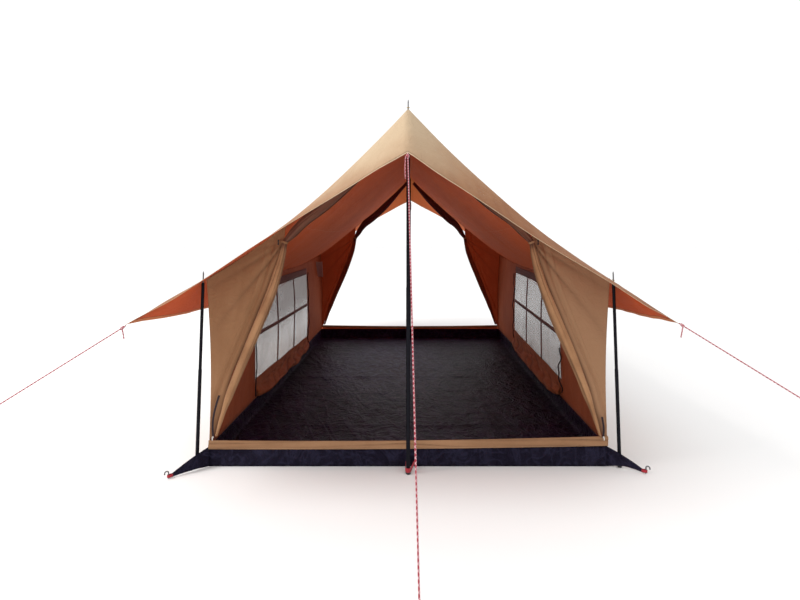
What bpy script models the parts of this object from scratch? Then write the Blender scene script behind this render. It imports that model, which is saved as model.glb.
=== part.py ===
# A canvas cabin tent: ridge roof on two main poles and four corner poles, tied-back doors at both
# ends, a tub groundsheet and six guy lines. Metres, +Z up, origin on the ground under the middle.

import math

import bmesh
import bpy
from mathutils import Vector

# Driving dimensions of the pitched tent
FLOOR_HALF_WIDTH = 1.235
FLOOR_HALF_LENGTH = 2.0
SKIRT_HEIGHT = 0.125
SILL_TOP = 0.175
RIDGE_HEIGHT = {-1: 2.2, 1: 2.255}
MAIN_POLE_Y = 2.1
EAVE_X = 1.275
EAVE_Y = 2.0
EAVE_HEIGHT = 1.154
TIP_X = 1.555
TIP_Y = 2.31
TIP_HEIGHT = 0.936
AWNING_CENTRE_Y = 2.4
AWNING_CENTRE_HEIGHT = {-1: 1.888, 1: 1.95}
HEM_BOW = {-1: 0.0, 1: 0.062}

# How far the cloth hangs below a straight line between its supports
RIDGE_SAG = 0.05
EAVE_SAG = 0.08
SLOPE_SAG = {-1: 0.075, 1: 0.045}
SIDE_EDGE_SAG = 0.072
SIDE_EDGE_DRAW = 0.05
WALL_DRAW = 0.018

# Thickness of the stand-in cloth, and the clearances between neighbours
ROOF_DROP = 0.006
CLOTH = 0.004
SEAM_GAP = 0.001
ROOF_GAP = 0.004

# Windows in the side walls
WINDOW_HALF_LENGTH = 1.0
WINDOW_BOTTOM = 0.26
WINDOW_TOP = 0.95

# Poles, ropes and pegs
MAIN_POLE_RADIUS = 0.0125
CORNER_POLE_RADIUS = 0.011
CORNER_FOOT_X = 1.31
CORNER_FOOT_Y = 2.01
SPIKE_RADIUS = 0.004
SPIKE_RISE = 0.05
GROMMET_RADIUS = 0.008
ROPE_RADIUS = 0.003
PEG_RADIUS = 0.004
PEG_HEIGHT = 0.036
TAIL_ENDS = {
    (-1, -1): (1.402, 2.145),
    (1, -1): (1.418, 2.085),
    (-1, 1): (1.405, 2.13),
    (1, 1): (1.405, 2.13),
}
CENTRE_PEG_Y = 3.8
FRONT_PEG_X = 0.052
CORNER_PEG = (2.85, 3.0)

# Tied-back doors: where the bundle of cloth is tied, and its thickness along the way
TIE_X = 0.775
TIE_Z = 1.405
DOOR_FOOT_X = 1.198
DOOR_FOOT_Z = 0.205
ROLL_RADIUS = 0.034
UPPER_ROLL_RADIUS = {-1: 0.034, 1: 0.042}
TIED_RADIUS = 0.024
FOOT_RADIUS = 0.014

SIDES = {"left": -1, "right": 1}
ENDS = {"front": -1, "rear": 1}


def clear_scene():
    for old in list(bpy.data.objects):
        bpy.data.objects.remove(old, do_unlink=True)


def material(name, colour, roughness, metallic=0.0):
    made = bpy.data.materials.new(name)
    made.use_nodes = True
    shader = made.node_tree.nodes["Principled BSDF"]
    shader.inputs["Base Color"].default_value = (*colour, 1.0)
    shader.inputs["Roughness"].default_value = roughness
    shader.inputs["Metallic"].default_value = metallic
    return made


def link(name, data, finish):
    made = bpy.data.objects.new(name, data)
    made.data.materials.append(finish)
    bpy.context.scene.collection.objects.link(made)
    return made


def object_from(name, mesh_builder, finish):
    bmesh.ops.recalc_face_normals(mesh_builder, faces=mesh_builder.faces)
    mesh = bpy.data.meshes.new(name)
    mesh_builder.to_mesh(mesh)
    mesh_builder.free()
    return link(name, mesh, finish)


def thicken(mesh_builder, offset):
    """Extrudes an open sheet by one offset, which closes it into a solid."""
    grown = bmesh.ops.extrude_face_region(mesh_builder, geom=mesh_builder.faces[:])
    moved = [item for item in grown["geom"] if isinstance(item, bmesh.types.BMVert)]
    bmesh.ops.translate(mesh_builder, verts=moved, vec=Vector(offset))


def cloth_sheet(name, steps, place, offset, finish, left_out=None):
    """A sheet of cloth on a grid: place turns its two shares, 0 to 1, into a point."""
    sheet = bmesh.new()
    bmesh.ops.create_grid(sheet, x_segments=steps[0], y_segments=steps[1], size=0.5)
    for vertex in sheet.verts:
        vertex.co += Vector((0.5, 0.5, 0))
    if left_out:
        hole = [face for face in sheet.faces if left_out(*face.calc_center_median().xy)]
        bmesh.ops.delete(sheet, geom=hole, context="FACES")
    for vertex in sheet.verts:
        vertex.co = place(vertex.co.x, vertex.co.y)
    thicken(sheet, offset)
    return object_from(name, sheet, finish)


def plate(name, outline, offset, finish):
    """A flat piece from its outline, a list of points in order, thickened by one offset."""
    piece = bmesh.new()
    piece.faces.new([piece.verts.new(point) for point in outline])
    thicken(piece, offset)
    bmesh.ops.triangulate(piece, faces=piece.faces)
    return object_from(name, piece, finish)


def rod(name, points, radius, finish, shares=None, roundness=2):
    """A round bar or bundle along points, with its radius scaled by a share at each one."""
    line = bpy.data.curves.new(name, "CURVE")
    line.dimensions = "3D"
    line.bevel_depth = radius
    line.bevel_resolution = roundness
    line.use_fill_caps = True
    spline = line.splines.new("POLY")
    spline.points.add(len(points) - 1)
    for i, (spot, point) in enumerate(zip(spline.points, points)):
        spot.co = (*point, 1.0)
        spot.radius = shares[i] if shares else 1.0
    return link(name, line, finish)


def cut(piece, cutter, operation="DIFFERENCE"):
    modifier = piece.modifiers.new(cutter.name, "BOOLEAN")
    modifier.operation = operation
    modifier.solver = "EXACT"
    modifier.object = cutter


def hide(made):
    made.hide_render = True
    made.display_type = "WIRE"
    return made


def hidden_cylinder(name, centre, radius, height, sides):
    shape = bmesh.new()
    bmesh.ops.create_cone(
        shape, cap_ends=True, segments=sides, radius1=radius, radius2=radius, depth=height
    )
    bmesh.ops.translate(shape, verts=shape.verts, vec=Vector(centre))
    mesh = bpy.data.meshes.new(name)
    shape.to_mesh(mesh)
    shape.free()
    made = bpy.data.objects.new(name, mesh)
    bpy.context.scene.collection.objects.link(made)
    return hide(made)


# Roof surface
# Across is 0 at the ridge, 1 at the eave over the corner poles and 2 at the outer edge.
# Along is -1 at the front hip and 1 at the rear hip.

def roof_point(across, along):
    bow = 1 - along * along
    rear = (along + 1) / 2
    ridge_line = RIDGE_HEIGHT[-1] + (RIDGE_HEIGHT[1] - RIDGE_HEIGHT[-1]) * rear
    ridge = Vector((0, MAIN_POLE_Y * along, ridge_line - RIDGE_SAG * bow))
    eave = Vector((EAVE_X, EAVE_Y * along, EAVE_HEIGHT - EAVE_SAG * bow))
    edge = Vector((TIP_X - SIDE_EDGE_DRAW * bow, TIP_Y * along, TIP_HEIGHT - SIDE_EDGE_SAG * bow))
    if across <= 1:
        point = ridge.lerp(eave, across)
        sag = SLOPE_SAG[-1] + (SLOPE_SAG[1] - SLOPE_SAG[-1]) * rear
        point.z -= sag * 4 * across * (1 - across)
        return point
    return eave.lerp(edge, across - 1)


def roof_height(x, y):
    """Height of the roof's upper face between ridge and eave."""
    across = abs(x) / EAVE_X
    reach = MAIN_POLE_Y + (EAVE_Y - MAIN_POLE_Y) * across
    return roof_point(across, y / reach).z


def across_of(share):
    """Grid share to roof position, with two thirds of the rows between ridge and eave."""
    if share <= 2 / 3:
        return share * 1.5
    return 1 + (share - 2 / 3) * 3


def awning_edge_point(across, end):
    """A point of an end awning's hem, below and outside the same point of the hip."""
    centre = Vector((0, end * AWNING_CENTRE_Y, AWNING_CENTRE_HEIGHT[end]))
    tip = Vector((TIP_X + 0.010, end * (TIP_Y + 0.015), TIP_HEIGHT - 0.004))
    share = min(1, roof_point(across, end).x / TIP_X)
    point = centre.lerp(tip, share)
    point.z += HEM_BOW[end] * math.sin(math.pi * share)
    return point


def roof_slope(side, finish):
    inner = 1 - SEAM_GAP / MAIN_POLE_Y

    def place(a, b):
        point = roof_point(across_of(a), (2 * b - 1) * inner)
        return Vector((side * (point.x + SEAM_GAP / 2), point.y, point.z))

    return lambda name: cloth_sheet(name, (12, 12), place, (0, 0, -ROOF_DROP), finish)


def end_awning(end, finish):
    def place(a, b):
        across = across_of(abs(2 * a - 1))
        point = roof_point(across, end).lerp(awning_edge_point(across, end), b)
        return Vector((math.copysign(point.x, a - 0.5), point.y + end * SEAM_GAP / 2, point.z))

    return lambda name: cloth_sheet(name, (24, 3), place, (0, 0, -ROOF_DROP), finish)


def build_roof(finish):
    spikes = {}
    for end_name, end in ENDS.items():
        spikes[end_name] = [hidden_cylinder(
            f"grommet_{end_name}", (0, end * MAIN_POLE_Y, RIDGE_HEIGHT[end]), GROMMET_RADIUS, 0.2, 12
        )]
        for side_name, side in SIDES.items():
            spikes[end_name].append(hidden_cylinder(
                f"grommet_{end_name}_{side_name}",
                (side * EAVE_X, end * EAVE_Y, EAVE_HEIGHT), GROMMET_RADIUS, 0.2, 12,
            ))
    for end_name, end in ENDS.items():
        awning = end_awning(end, finish)(f"awning_{end_name}")
        for cutter in spikes[end_name]:
            cut(awning, cutter)
    for side_name, side in SIDES.items():
        slope = roof_slope(side, finish)(f"roof_slope_{side_name}")
        for cutter in spikes["front"] + spikes["rear"]:
            if cutter.name in ("grommet_front", "grommet_rear") or cutter.name.endswith(side_name):
                cut(slope, cutter)


# Walls
# The side walls lean with the cloth: drawn in at mid height, out again at the eave.

def wall_x(z):
    share = (z - SKIRT_HEIGHT) / (EAVE_HEIGHT - SKIRT_HEIGHT)
    return FLOOR_HALF_WIDTH + 0.015 * share - WALL_DRAW * math.sin(math.pi * min(1, max(0, share)))


def stretch(share, stops):
    """Share 0 to 1 along a list of stops, evenly spaced in share."""
    steps = len(stops) - 1
    i = min(int(share * steps + 1e-6), steps - 1)
    return stops[i] + (stops[i + 1] - stops[i]) * (share * steps - i)


def side_wall(name, side, finish):
    end_y = FLOOR_HALF_LENGTH - 0.004
    near, far = -WINDOW_HALF_LENGTH, WINDOW_HALF_LENGTH
    along = [-end_y, (near - end_y) / 2, near, near / 2, 0, far / 2, far, (far + end_y) / 2, end_y]
    up = [0.0, WINDOW_BOTTOM, (WINDOW_BOTTOM + WINDOW_TOP) / 2, WINDOW_TOP, 1.0]

    def place(a, b):
        y = stretch(a, along)
        top = roof_height(wall_x(EAVE_HEIGHT), y) - ROOF_DROP - ROOF_GAP
        low = SKIRT_HEIGHT + SEAM_GAP / 2
        z = stretch(b, [low, WINDOW_BOTTOM, up[2], WINDOW_TOP, top])
        return Vector((side * wall_x(z), y, z))

    def window(a, b):
        return near < stretch(a, along) < far and 0.25 < b < 0.75

    return cloth_sheet(name, (8, 4), place, (side * CLOTH, 0, 0), finish, left_out=window)


def window_sheet(name, side, finish):
    half = WINDOW_HALF_LENGTH - SEAM_GAP
    low, high = WINDOW_BOTTOM + SEAM_GAP, WINDOW_TOP - SEAM_GAP

    def place(a, b):
        z = stretch(b, [low, (WINDOW_BOTTOM + WINDOW_TOP) / 2, high])
        return Vector((side * (wall_x(z) + CLOTH / 4), half * (2 * a - 1), z))

    return cloth_sheet(name, (4, 2), place, (side * CLOTH / 2, 0, 0), finish)


def window_cover(name, side, finish):
    """The window's inner cover, let down so that it hangs in a slack fold inside the wall."""
    x = FLOOR_HALF_WIDTH
    section = [
        (0.012, 0.255), (0.020, 0.255), (0.036, 0.13), (0.064, 0.075),
        (0.060, 0.035), (0.034, 0.014), (0.012, 0.03), (0.010, 0.12),
    ]
    outline = [(side * (x - inward), -WINDOW_HALF_LENGTH, z) for inward, z in section]
    return plate(name, outline, (0, 2 * WINDOW_HALF_LENGTH, 0), finish)


# Doors
# Each leaf is gathered into a bundle that hangs along the roof and down to the corner of the floor.

def roll_path(end):
    """Centre line of the right-hand bundle, from the ridge to the tie and down to the floor."""
    y = end * FLOOR_HALF_LENGTH
    hang = ROOF_DROP + (UPPER_ROLL_RADIUS[end] + ROOF_GAP) * 1.42
    upper = [(x, roof_height(x, y) - hang) for x in (0.05, 0.24, 0.42, 0.60, 0.72)]
    lower = [
        (TIE_X + (DOOR_FOOT_X - TIE_X) * t - 0.02 * math.sin(2 * math.pi * t),
         TIE_Z + (DOOR_FOOT_Z - TIE_Z) * t)
        for t in (0.0, 0.12, 0.3, 0.5, 0.7, 0.88, 1.0)
    ]
    return upper + lower


def roll_radii(end):
    upper = [UPPER_ROLL_RADIUS[end]] * 4 + [(ROLL_RADIUS + TIED_RADIUS) / 2]
    lower = [TIED_RADIUS, 0.028, ROLL_RADIUS, ROLL_RADIUS, 0.027, 0.02, FOOT_RADIUS]
    return upper + lower


def door_roll(name, side, end, finish):
    points = [(side * x, end * FLOOR_HALF_LENGTH, z) for x, z in roll_path(end)]
    return rod(name, points, 1.0, finish, shares=roll_radii(end), roundness=1)


def end_wall(name, side, end, finish):
    """The cloth between the corner of the tent and the tied-back door."""
    y = end * (FLOOR_HALF_LENGTH - CLOTH / 2)
    path = list(zip(roll_path(end), roll_radii(end)))[5:]
    beside = []
    for (x, z), radius in path[1:]:
        beside.append((x + (radius + 0.004) * 1.16, z))
    beside[-1] = (DOOR_FOOT_X + FOOT_RADIUS + 0.003, SILL_TOP + SEAM_GAP)
    top_inner = TIE_X + 0.04
    tops = [1.235, 1.09, 0.95, top_inner]
    upper = [(x, roof_height(x, y) - ROOF_DROP - ROOF_GAP) for x in tops]
    outer = [(wall_x(z), z) for z in (SILL_TOP + SEAM_GAP, 0.4, 0.65, 0.9)]
    outline = [(side * x, y, z) for x, z in outer + upper + beside]
    return plate(name, outline, (0, end * CLOTH, 0), finish)


def door_sill(name, end, finish):
    y = end * (FLOOR_HALF_LENGTH - CLOTH / 2)
    low, x = SKIRT_HEIGHT + SEAM_GAP / 2, FLOOR_HALF_WIDTH
    outline = [(-x, y, low), (x, y, low), (x, y, SILL_TOP), (-x, y, SILL_TOP)]
    return plate(name, outline, (0, end * CLOTH, 0), finish)


# Groundsheet
# A tub: the floor with its edges turned up into a skirt all round, and a tail at each corner.

def groundsheet(name, finish):
    x, y = FLOOR_HALF_WIDTH + CLOTH, FLOOR_HALF_LENGTH + CLOTH / 2
    tub = bmesh.new()
    made = bmesh.ops.create_cube(tub, size=1.0)
    for vertex in made["verts"]:
        vertex.co = Vector((vertex.co.x * 2 * x, vertex.co.y * 2 * y, (vertex.co.z + 0.5) * SKIRT_HEIGHT))
    top = [face for face in tub.faces if face.normal.z > 0.5]
    bmesh.ops.inset_region(tub, faces=top, thickness=CLOTH)
    bmesh.ops.translate(tub, verts=top[0].verts, vec=Vector((0, 0, CLOTH - SKIRT_HEIGHT)))
    made = object_from(name, tub, finish)
    for end_name, end in ENDS.items():
        for side_name, side in SIDES.items():
            tail = stake_tail(f"tail_{end_name}_{side_name}", side, end, finish)
            cut(made, hide(tail), "UNION")
    return made


def stake_tail(name, side, end, finish):
    """The skirt's corner, drawn out to a peg as a standing triangle of cloth."""
    start = (FLOOR_HALF_WIDTH + CLOTH / 4, FLOOR_HALF_LENGTH - CLOTH / 4)
    tip = TAIL_ENDS[(side, end)]
    sheet = [(*start, 0.0), (*tip, 0.0), (*tip, 0.014), (*start, SKIRT_HEIGHT - 0.004)]
    turn = Vector((tip[1] - start[1], start[0] - tip[0], 0)).normalized() * CLOTH / 2
    outline = [(side * (x - turn.x), end * (y - turn.y), z) for x, y, z in sheet]
    return plate(name, outline, (side * turn.x * 2, end * turn.y * 2, 0), finish)


# Poles, guy lines and pegs

def spiked_pole(name, foot, head, radius, finish):
    """A steel tube with a shoulder under the roof and a thin spike that goes through it."""
    foot, head = Vector(foot), Vector(head)
    line = (head - foot).normalized()
    up = line.dot(Vector((0, 0, 1)))
    steps = [(0.0, radius), ((head - foot).length, radius), ((head - foot).length, SPIKE_RADIUS)]
    steps.append(((head - foot).length + (SPIKE_RISE + 0.02) / up, SPIKE_RADIUS))
    shape = bmesh.new()
    rings = []
    for height, reach in steps:
        ring = bmesh.ops.create_circle(shape, segments=12, radius=reach)["verts"]
        bmesh.ops.translate(shape, verts=ring, vec=foot + line * height)
        rings.append(ring)
    for lower, upper in zip(rings, rings[1:]):
        for i in range(12):
            j = (i + 1) % 12
            shape.faces.new((lower[i], lower[j], upper[j], upper[i]))
    shape.faces.new(rings[0])
    shape.faces.new(rings[-1])
    return object_from(name, shape, finish)


def peg(name, at, outward, finish):
    """The part of a hooked peg that stands out of the ground."""
    way = Vector((*outward, 0)).normalized()
    base = Vector((*at, 0))
    top = PEG_HEIGHT + 0.008
    hook = [(0, 0), (0, PEG_HEIGHT), (0.006, top), (0.016, top), (0.022, PEG_HEIGHT)]
    points = [base + way * out + Vector((0, 0, up)) for out, up in hook]
    return rod(name, points, PEG_RADIUS, finish)


def guy_line(name, head, peg_at, finish):
    """A taut rope from a ring on the awning to just short of its peg."""
    head, foot = Vector(head), Vector((*peg_at, 0.024))
    line = (foot - head).normalized()
    return rod(name, [head + line * 0.01, foot - line * 0.012], ROPE_RADIUS, finish)


def foot_strap(name, end, finish):
    """Webbing from the skirt to the foot of a main pole, which stands in its eye."""
    inner, outer = FLOOR_HALF_LENGTH + CLOTH / 2 + SEAM_GAP, MAIN_POLE_Y + 0.03
    outline = [
        (x, end * y, 0.0)
        for x, y in ((-0.0125, inner), (0.0125, inner), (0.0125, inner + 0.05), (0.024, MAIN_POLE_Y - 0.012),
                     (0.024, outer - 0.01), (0.012, outer), (-0.012, outer), (-0.024, outer - 0.01),
                     (-0.024, MAIN_POLE_Y - 0.012), (-0.0125, inner + 0.05))
    ]
    made = plate(name, outline, (0, 0, 0.003), finish)
    cut(made, hidden_cylinder(name + "_eye", (0, end * MAIN_POLE_Y, 0), MAIN_POLE_RADIUS + 0.002, 0.1, 16))
    return made


def build_tent():
    canvas = material("canvas", (0.52, 0.31, 0.16), 0.9)
    ground_cloth = material("ground_cloth", (0.012, 0.012, 0.018), 0.45)
    window_mesh = material("window_mesh", (0.45, 0.45, 0.46), 0.8)
    pole_steel = material("pole_steel", (0.012, 0.012, 0.014), 0.4, 0.6)
    rope_fibre = material("rope_fibre", (0.55, 0.03, 0.07), 0.8)
    webbing = material("webbing", (0.45, 0.01, 0.02), 0.85)
    peg_steel = material("peg_steel", (0.03, 0.03, 0.035), 0.4, 0.8)

    build_roof(canvas)
    groundsheet("groundsheet", ground_cloth)
    for side_name, side in SIDES.items():
        side_wall(f"side_wall_{side_name}", side, canvas)
        window_sheet(f"window_mesh_{side_name}", side, window_mesh)
        window_cover(f"window_cover_{side_name}", side, canvas)

    for end_name, end in ENDS.items():
        door_sill(f"door_sill_{end_name}", end, canvas)
        foot_strap(f"foot_strap_{end_name}", end, webbing)
        main_head = RIDGE_HEIGHT[end] - 0.028
        spiked_pole(
            f"main_pole_{end_name}", (0, end * MAIN_POLE_Y, 0), (0, end * MAIN_POLE_Y, main_head),
            MAIN_POLE_RADIUS, pole_steel,
        )
        peg_at = (FRONT_PEG_X if end < 0 else 0, end * CENTRE_PEG_Y)
        ring = (0, end * (AWNING_CENTRE_Y + 0.006), AWNING_CENTRE_HEIGHT[end] - 0.009)
        guy_line(f"guy_line_{end_name}", ring, peg_at, rope_fibre)
        peg(f"guy_peg_{end_name}", peg_at, (0, end), peg_steel)

        for side_name, side in SIDES.items():
            corner = f"{end_name}_{side_name}"
            end_wall(f"end_wall_{corner}", side, end, canvas)
            door_roll(f"door_roll_{corner}", side, end, canvas)
            tail = TAIL_ENDS[(side, end)]
            peg(f"tail_peg_{corner}", (side * (tail[0] + 0.015), end * (tail[1] + 0.012)),
                (side, end * 0.8), peg_steel)
            head = (side * EAVE_X, end * EAVE_Y, EAVE_HEIGHT - 0.022)
            foot = (side * CORNER_FOOT_X, end * CORNER_FOOT_Y, 0.0)
            spiked_pole(f"corner_pole_{corner}", foot, head, CORNER_POLE_RADIUS, pole_steel)
            peg_at = (side * CORNER_PEG[0], end * CORNER_PEG[1])
            ring = (side * (TIP_X + 0.014), end * (TIP_Y + 0.019), TIP_HEIGHT - 0.010)
            guy_line(f"guy_line_{corner}", ring, peg_at, rope_fibre)
            peg(f"guy_peg_{corner}", peg_at, (side, end * 0.6), peg_steel)


clear_scene()
build_tent()
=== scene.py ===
# The cabin tent as it is put up: studio, roof, walls, doors, groundsheet, poles and guy lines.
import math

import bmesh
import bpy
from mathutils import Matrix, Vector, noise


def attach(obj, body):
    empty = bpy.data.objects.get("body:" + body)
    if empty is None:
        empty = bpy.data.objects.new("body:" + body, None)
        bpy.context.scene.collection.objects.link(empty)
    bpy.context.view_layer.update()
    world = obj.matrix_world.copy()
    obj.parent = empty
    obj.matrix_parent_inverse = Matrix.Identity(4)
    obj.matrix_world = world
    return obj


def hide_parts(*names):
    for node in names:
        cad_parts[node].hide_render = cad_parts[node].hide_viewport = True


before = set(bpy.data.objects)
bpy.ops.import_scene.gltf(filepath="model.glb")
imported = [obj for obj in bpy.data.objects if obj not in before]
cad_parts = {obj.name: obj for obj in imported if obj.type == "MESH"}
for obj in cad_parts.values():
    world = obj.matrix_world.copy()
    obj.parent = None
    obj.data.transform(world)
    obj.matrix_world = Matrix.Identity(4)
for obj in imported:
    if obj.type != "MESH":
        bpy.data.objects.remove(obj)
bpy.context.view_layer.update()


# The studio: a pale floor under an even white sky, with one large soft lamp high on the left.
# The camera stands level in front of the doorway at chest height, and its shift keeps the
# uprights upright while the tent fills the lower part of the picture.
PHOTO_WIDTH = 800
FOCAL_PIXELS = 515.0
VANISHING_POINT = (411.5, 235.0)
EYE = (0.02, -5.2, 1.437)

camera_data = bpy.data.cameras.new("eye")
camera_data.sensor_width = 36.0
camera_data.lens = 36.0 * FOCAL_PIXELS / PHOTO_WIDTH
camera_data.shift_x = (400.0 - VANISHING_POINT[0]) / PHOTO_WIDTH
camera_data.shift_y = (VANISHING_POINT[1] - 300.0) / PHOTO_WIDTH
camera = bpy.data.objects.new("eye", camera_data)
camera.location = EYE
camera.rotation_euler = (math.pi / 2, 0, 0)
bpy.context.scene.collection.objects.link(camera)
bpy.context.scene.camera = camera
bpy.context.scene.view_settings.view_transform = "Standard"


class Shade:
    """A socket of a material's nodes, so that a sum on it can be written as a sum."""

    def __init__(self, socket):
        self.socket = socket

    def worked(self, operation, *values):
        nodes = self.socket.id_data.nodes
        made = nodes.new("ShaderNodeMath")
        made.operation = operation
        for slot, value in zip(made.inputs, values):
            if isinstance(value, Shade):
                self.socket.id_data.links.new(value.socket, slot)
            else:
                slot.default_value = value
        return Shade(made.outputs[0])

    def __add__(self, other):
        return self.worked("ADD", self, other)

    def __radd__(self, other):
        return self.worked("ADD", other, self)

    def __sub__(self, other):
        return self.worked("SUBTRACT", self, other)

    def __rsub__(self, other):
        return self.worked("SUBTRACT", other, self)

    def __mul__(self, other):
        return self.worked("MULTIPLY", self, other)

    def __rmul__(self, other):
        return self.worked("MULTIPLY", other, self)

    def __truediv__(self, other):
        return self.worked("DIVIDE", self, other)

    def __rtruediv__(self, other):
        return self.worked("DIVIDE", other, self)

    def __pow__(self, other):
        return self.worked("POWER", self, other)

    def __abs__(self):
        return self.worked("ABSOLUTE", self)

    def __neg__(self):
        return self.worked("MULTIPLY", self, -1.0)

    def __gt__(self, other):
        return self.worked("GREATER_THAN", self, other)

    def __lt__(self, other):
        return self.worked("LESS_THAN", self, other)

    def sine(self):
        return self.worked("SINE", self)

    def fraction(self):
        return self.worked("FRACT", self)

    def largest(self, other):
        return self.worked("MAXIMUM", self, other)

    def smallest(self, other):
        return self.worked("MINIMUM", self, other)

    def angle(self, other):
        return self.worked("ARCTAN2", self, other)


class Finish:
    """A material in the making, with one way to add a node and one to feed a socket."""

    def __init__(self, name, roughness, metallic=0.0, **fixed):
        self.material = bpy.data.materials.new(name)
        self.material.use_nodes = True
        self.tree = self.material.node_tree
        self.shader = self.tree.nodes["Principled BSDF"]
        self.feed(self.shader.inputs["Roughness"], roughness)
        self.feed(self.shader.inputs["Metallic"], metallic)
        for socket, value in fixed.items():
            self.feed(self.shader.inputs[socket.replace("_", " ")], value)
        place = self.node("ShaderNodeTexCoord")
        self.place = place.outputs["Object"]
        self.cloth = place.outputs["UV"]

    def feed(self, socket, value):
        if isinstance(value, Shade):
            value = value.socket
        if isinstance(value, bpy.types.NodeSocket):
            self.tree.links.new(value, socket)
        elif hasattr(value, "__len__") and socket.type == "RGBA" and len(value) == 3:
            socket.default_value = (*value, 1.0)
        else:
            socket.default_value = value

    def node(self, kind, settings=None, **values):
        made = self.tree.nodes.new(kind)
        for key, value in (settings or {}).items():
            if key == "stops":
                while len(made.color_ramp.elements) < len(value):
                    made.color_ramp.elements.new(0.5)
                for stop, (position, colour) in zip(made.color_ramp.elements, value):
                    stop.position = position
                    stop.color = (*colour, 1.0)
            else:
                setattr(made, key, value)
        for key, value in values.items():
            slot = int(key[1:]) if key[0] == "_" else key.replace("_", " ")
            self.feed(made.inputs[slot], value)
        return made

    def parts(self, vector):
        split = self.node("ShaderNodeSeparateXYZ", _0=vector)
        return [Shade(split.outputs[i]) for i in range(3)]

    def fold(self):
        """How much painted shade a point gets, 0 to 1, as its piece stores it: the depth of its folds, and on a door
        leaf also the side turned from the light.
        """
        return Shade(self.node("ShaderNodeAttribute", {"attribute_name": "fold"}).outputs["Fac"])

    def stretched(self, vector, factors):
        return self.node("ShaderNodeVectorMath", {"operation": "MULTIPLY"}, _0=vector, _1=factors).outputs[0]

    def cloud(self, scale, detail=3.0, roughness=0.55, vector=None, distortion=0.0):
        made = self.node(
            "ShaderNodeTexNoise", Vector=vector or self.place, Scale=scale, Detail=detail,
            Roughness=roughness, Distortion=distortion,
        )
        return Shade(made.outputs["Fac"])

    def between(self, value, low, high, smooth=True):
        """Share 0 to 1 of value between low and high."""
        kind = "SMOOTHSTEP" if smooth else "LINEAR"
        made = self.node(
            "ShaderNodeMapRange", {"interpolation_type": kind}, Value=value, From_Min=low, From_Max=high
        )
        return Shade(made.outputs[0])

    def dyed(self, share, first, second, way="MIX"):
        made = self.node(
            "ShaderNodeMix", {"data_type": "RGBA", "blend_type": way}, _0=share, _6=first, _7=second
        )
        return made.outputs[2]

    def raised(self, height, distance, strength=1.0, under=None):
        made = self.node("ShaderNodeBump", Height=height, Distance=distance, Strength=strength)
        if under:
            self.feed(made.inputs["Normal"], under)
        return made.outputs[0]

    def wear(self, colour=None, roughness=None, normal=None, **others):
        for socket, value in (("Base Color", colour), ("Roughness", roughness), ("Normal", normal)):
            if value is not None:
                self.feed(self.shader.inputs[socket], value)
        for socket, value in others.items():
            self.feed(self.shader.inputs[socket.replace("_", " ")], value)
        return self.material


FLOOR_REACH = 60.0
floor_shape = bmesh.new()
bmesh.ops.create_grid(floor_shape, x_segments=2, y_segments=2, size=FLOOR_REACH)
bmesh.ops.translate(floor_shape, verts=floor_shape.verts, vec=Vector((0, 0, -0.001)))
floor_mesh = bpy.data.meshes.new("studio_floor")
floor_shape.to_mesh(floor_mesh)
floor_shape.free()
studio_floor = bpy.data.objects.new("studio_floor", floor_mesh)
bpy.context.scene.collection.objects.link(studio_floor)
floor_paper = Finish("studio_paper", roughness=0.9)
floor_mesh.materials.append(floor_paper.wear(colour=floor_paper.dyed(
    floor_paper.cloud(0.6), (0.90, 0.90, 0.90), (0.92, 0.92, 0.92)
)))

sky = bpy.data.worlds.new("studio_sky")
sky.use_nodes = True
sky.node_tree.nodes["Background"].inputs["Color"].default_value = (1.0, 1.0, 1.0, 1.0)
sky.node_tree.nodes["Background"].inputs["Strength"].default_value = 1.1
bpy.context.scene.world = sky


def soft_lamp(name, position, aim, width, power, colour):
    data = bpy.data.lights.new(name, "AREA")
    data.shape = "SQUARE"
    data.size = width
    data.energy = power
    data.color = colour
    lamp = bpy.data.objects.new(name, data)
    lamp.location = position
    lamp.rotation_euler = (Vector(aim) - Vector(position)).to_track_quat("-Z", "Y").to_euler()
    bpy.context.scene.collection.objects.link(lamp)


soft_lamp("high_left_lamp", (-7.5, -3.0, 7.5), (0, 0, 1.2), 3.5, 560.0, (1.0, 0.98, 0.95))


# The roof is one sewn canopy of waxed cotton canvas, sand coloured outside. It is laid over the
# two main poles and pulled out over the corner poles, and it runs on past the walls as awnings
# that end in four points. Cut in panels, with flat-felled seams and a folded hem all round.
RIDGE_TOP = {-1: 2.2, 1: 2.255}
MAIN_POLE_Y = 2.1
EAVE = (1.275, 2.0, 1.154)
TIP = (1.555, 2.31, 0.936)
TIP_PULL = {(-1, -1): (0.016, -0.003), (1, -1): (-0.045, 0.010), (-1, 1): (0.0, 0.0), (1, 1): (0.0, 0.0)}
AWNING_CENTRE = {-1: (2.4, 1.888), 1: (2.4, 1.95)}
HEM_BOW = {(-1, -1): 0.012, (1, -1): -0.002, (-1, 1): 0.062, (1, 1): 0.062}
HEM_DIPS = {
    (-1, -1): ((0.012, 0.84, 0.09), (0.014, 0.68, 0.18)),
    (1, -1): ((0.020, 0.84, 0.09), (0.034, 0.50, 0.29)),
    (-1, 1): ((0.012, 0.84, 0.09),),
    (1, 1): ((0.012, 0.84, 0.09),),
}
RIDGE_SAG = 0.05
EAVE_SAG = 0.08
SLOPE_SAG = {-1: 0.075, 1: 0.045}
SIDE_EDGE_SAG = 0.072
SIDE_EDGE_DRAW = 0.05
ROOF_COLUMNS = 140
ROOF_ROWS = 150
CANVAS_THICK = 0.0014
SLOPE_LENGTH = 1.66
SIDE_AWNING_LENGTH = 0.34
END_AWNING_LENGTH = 0.43

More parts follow.
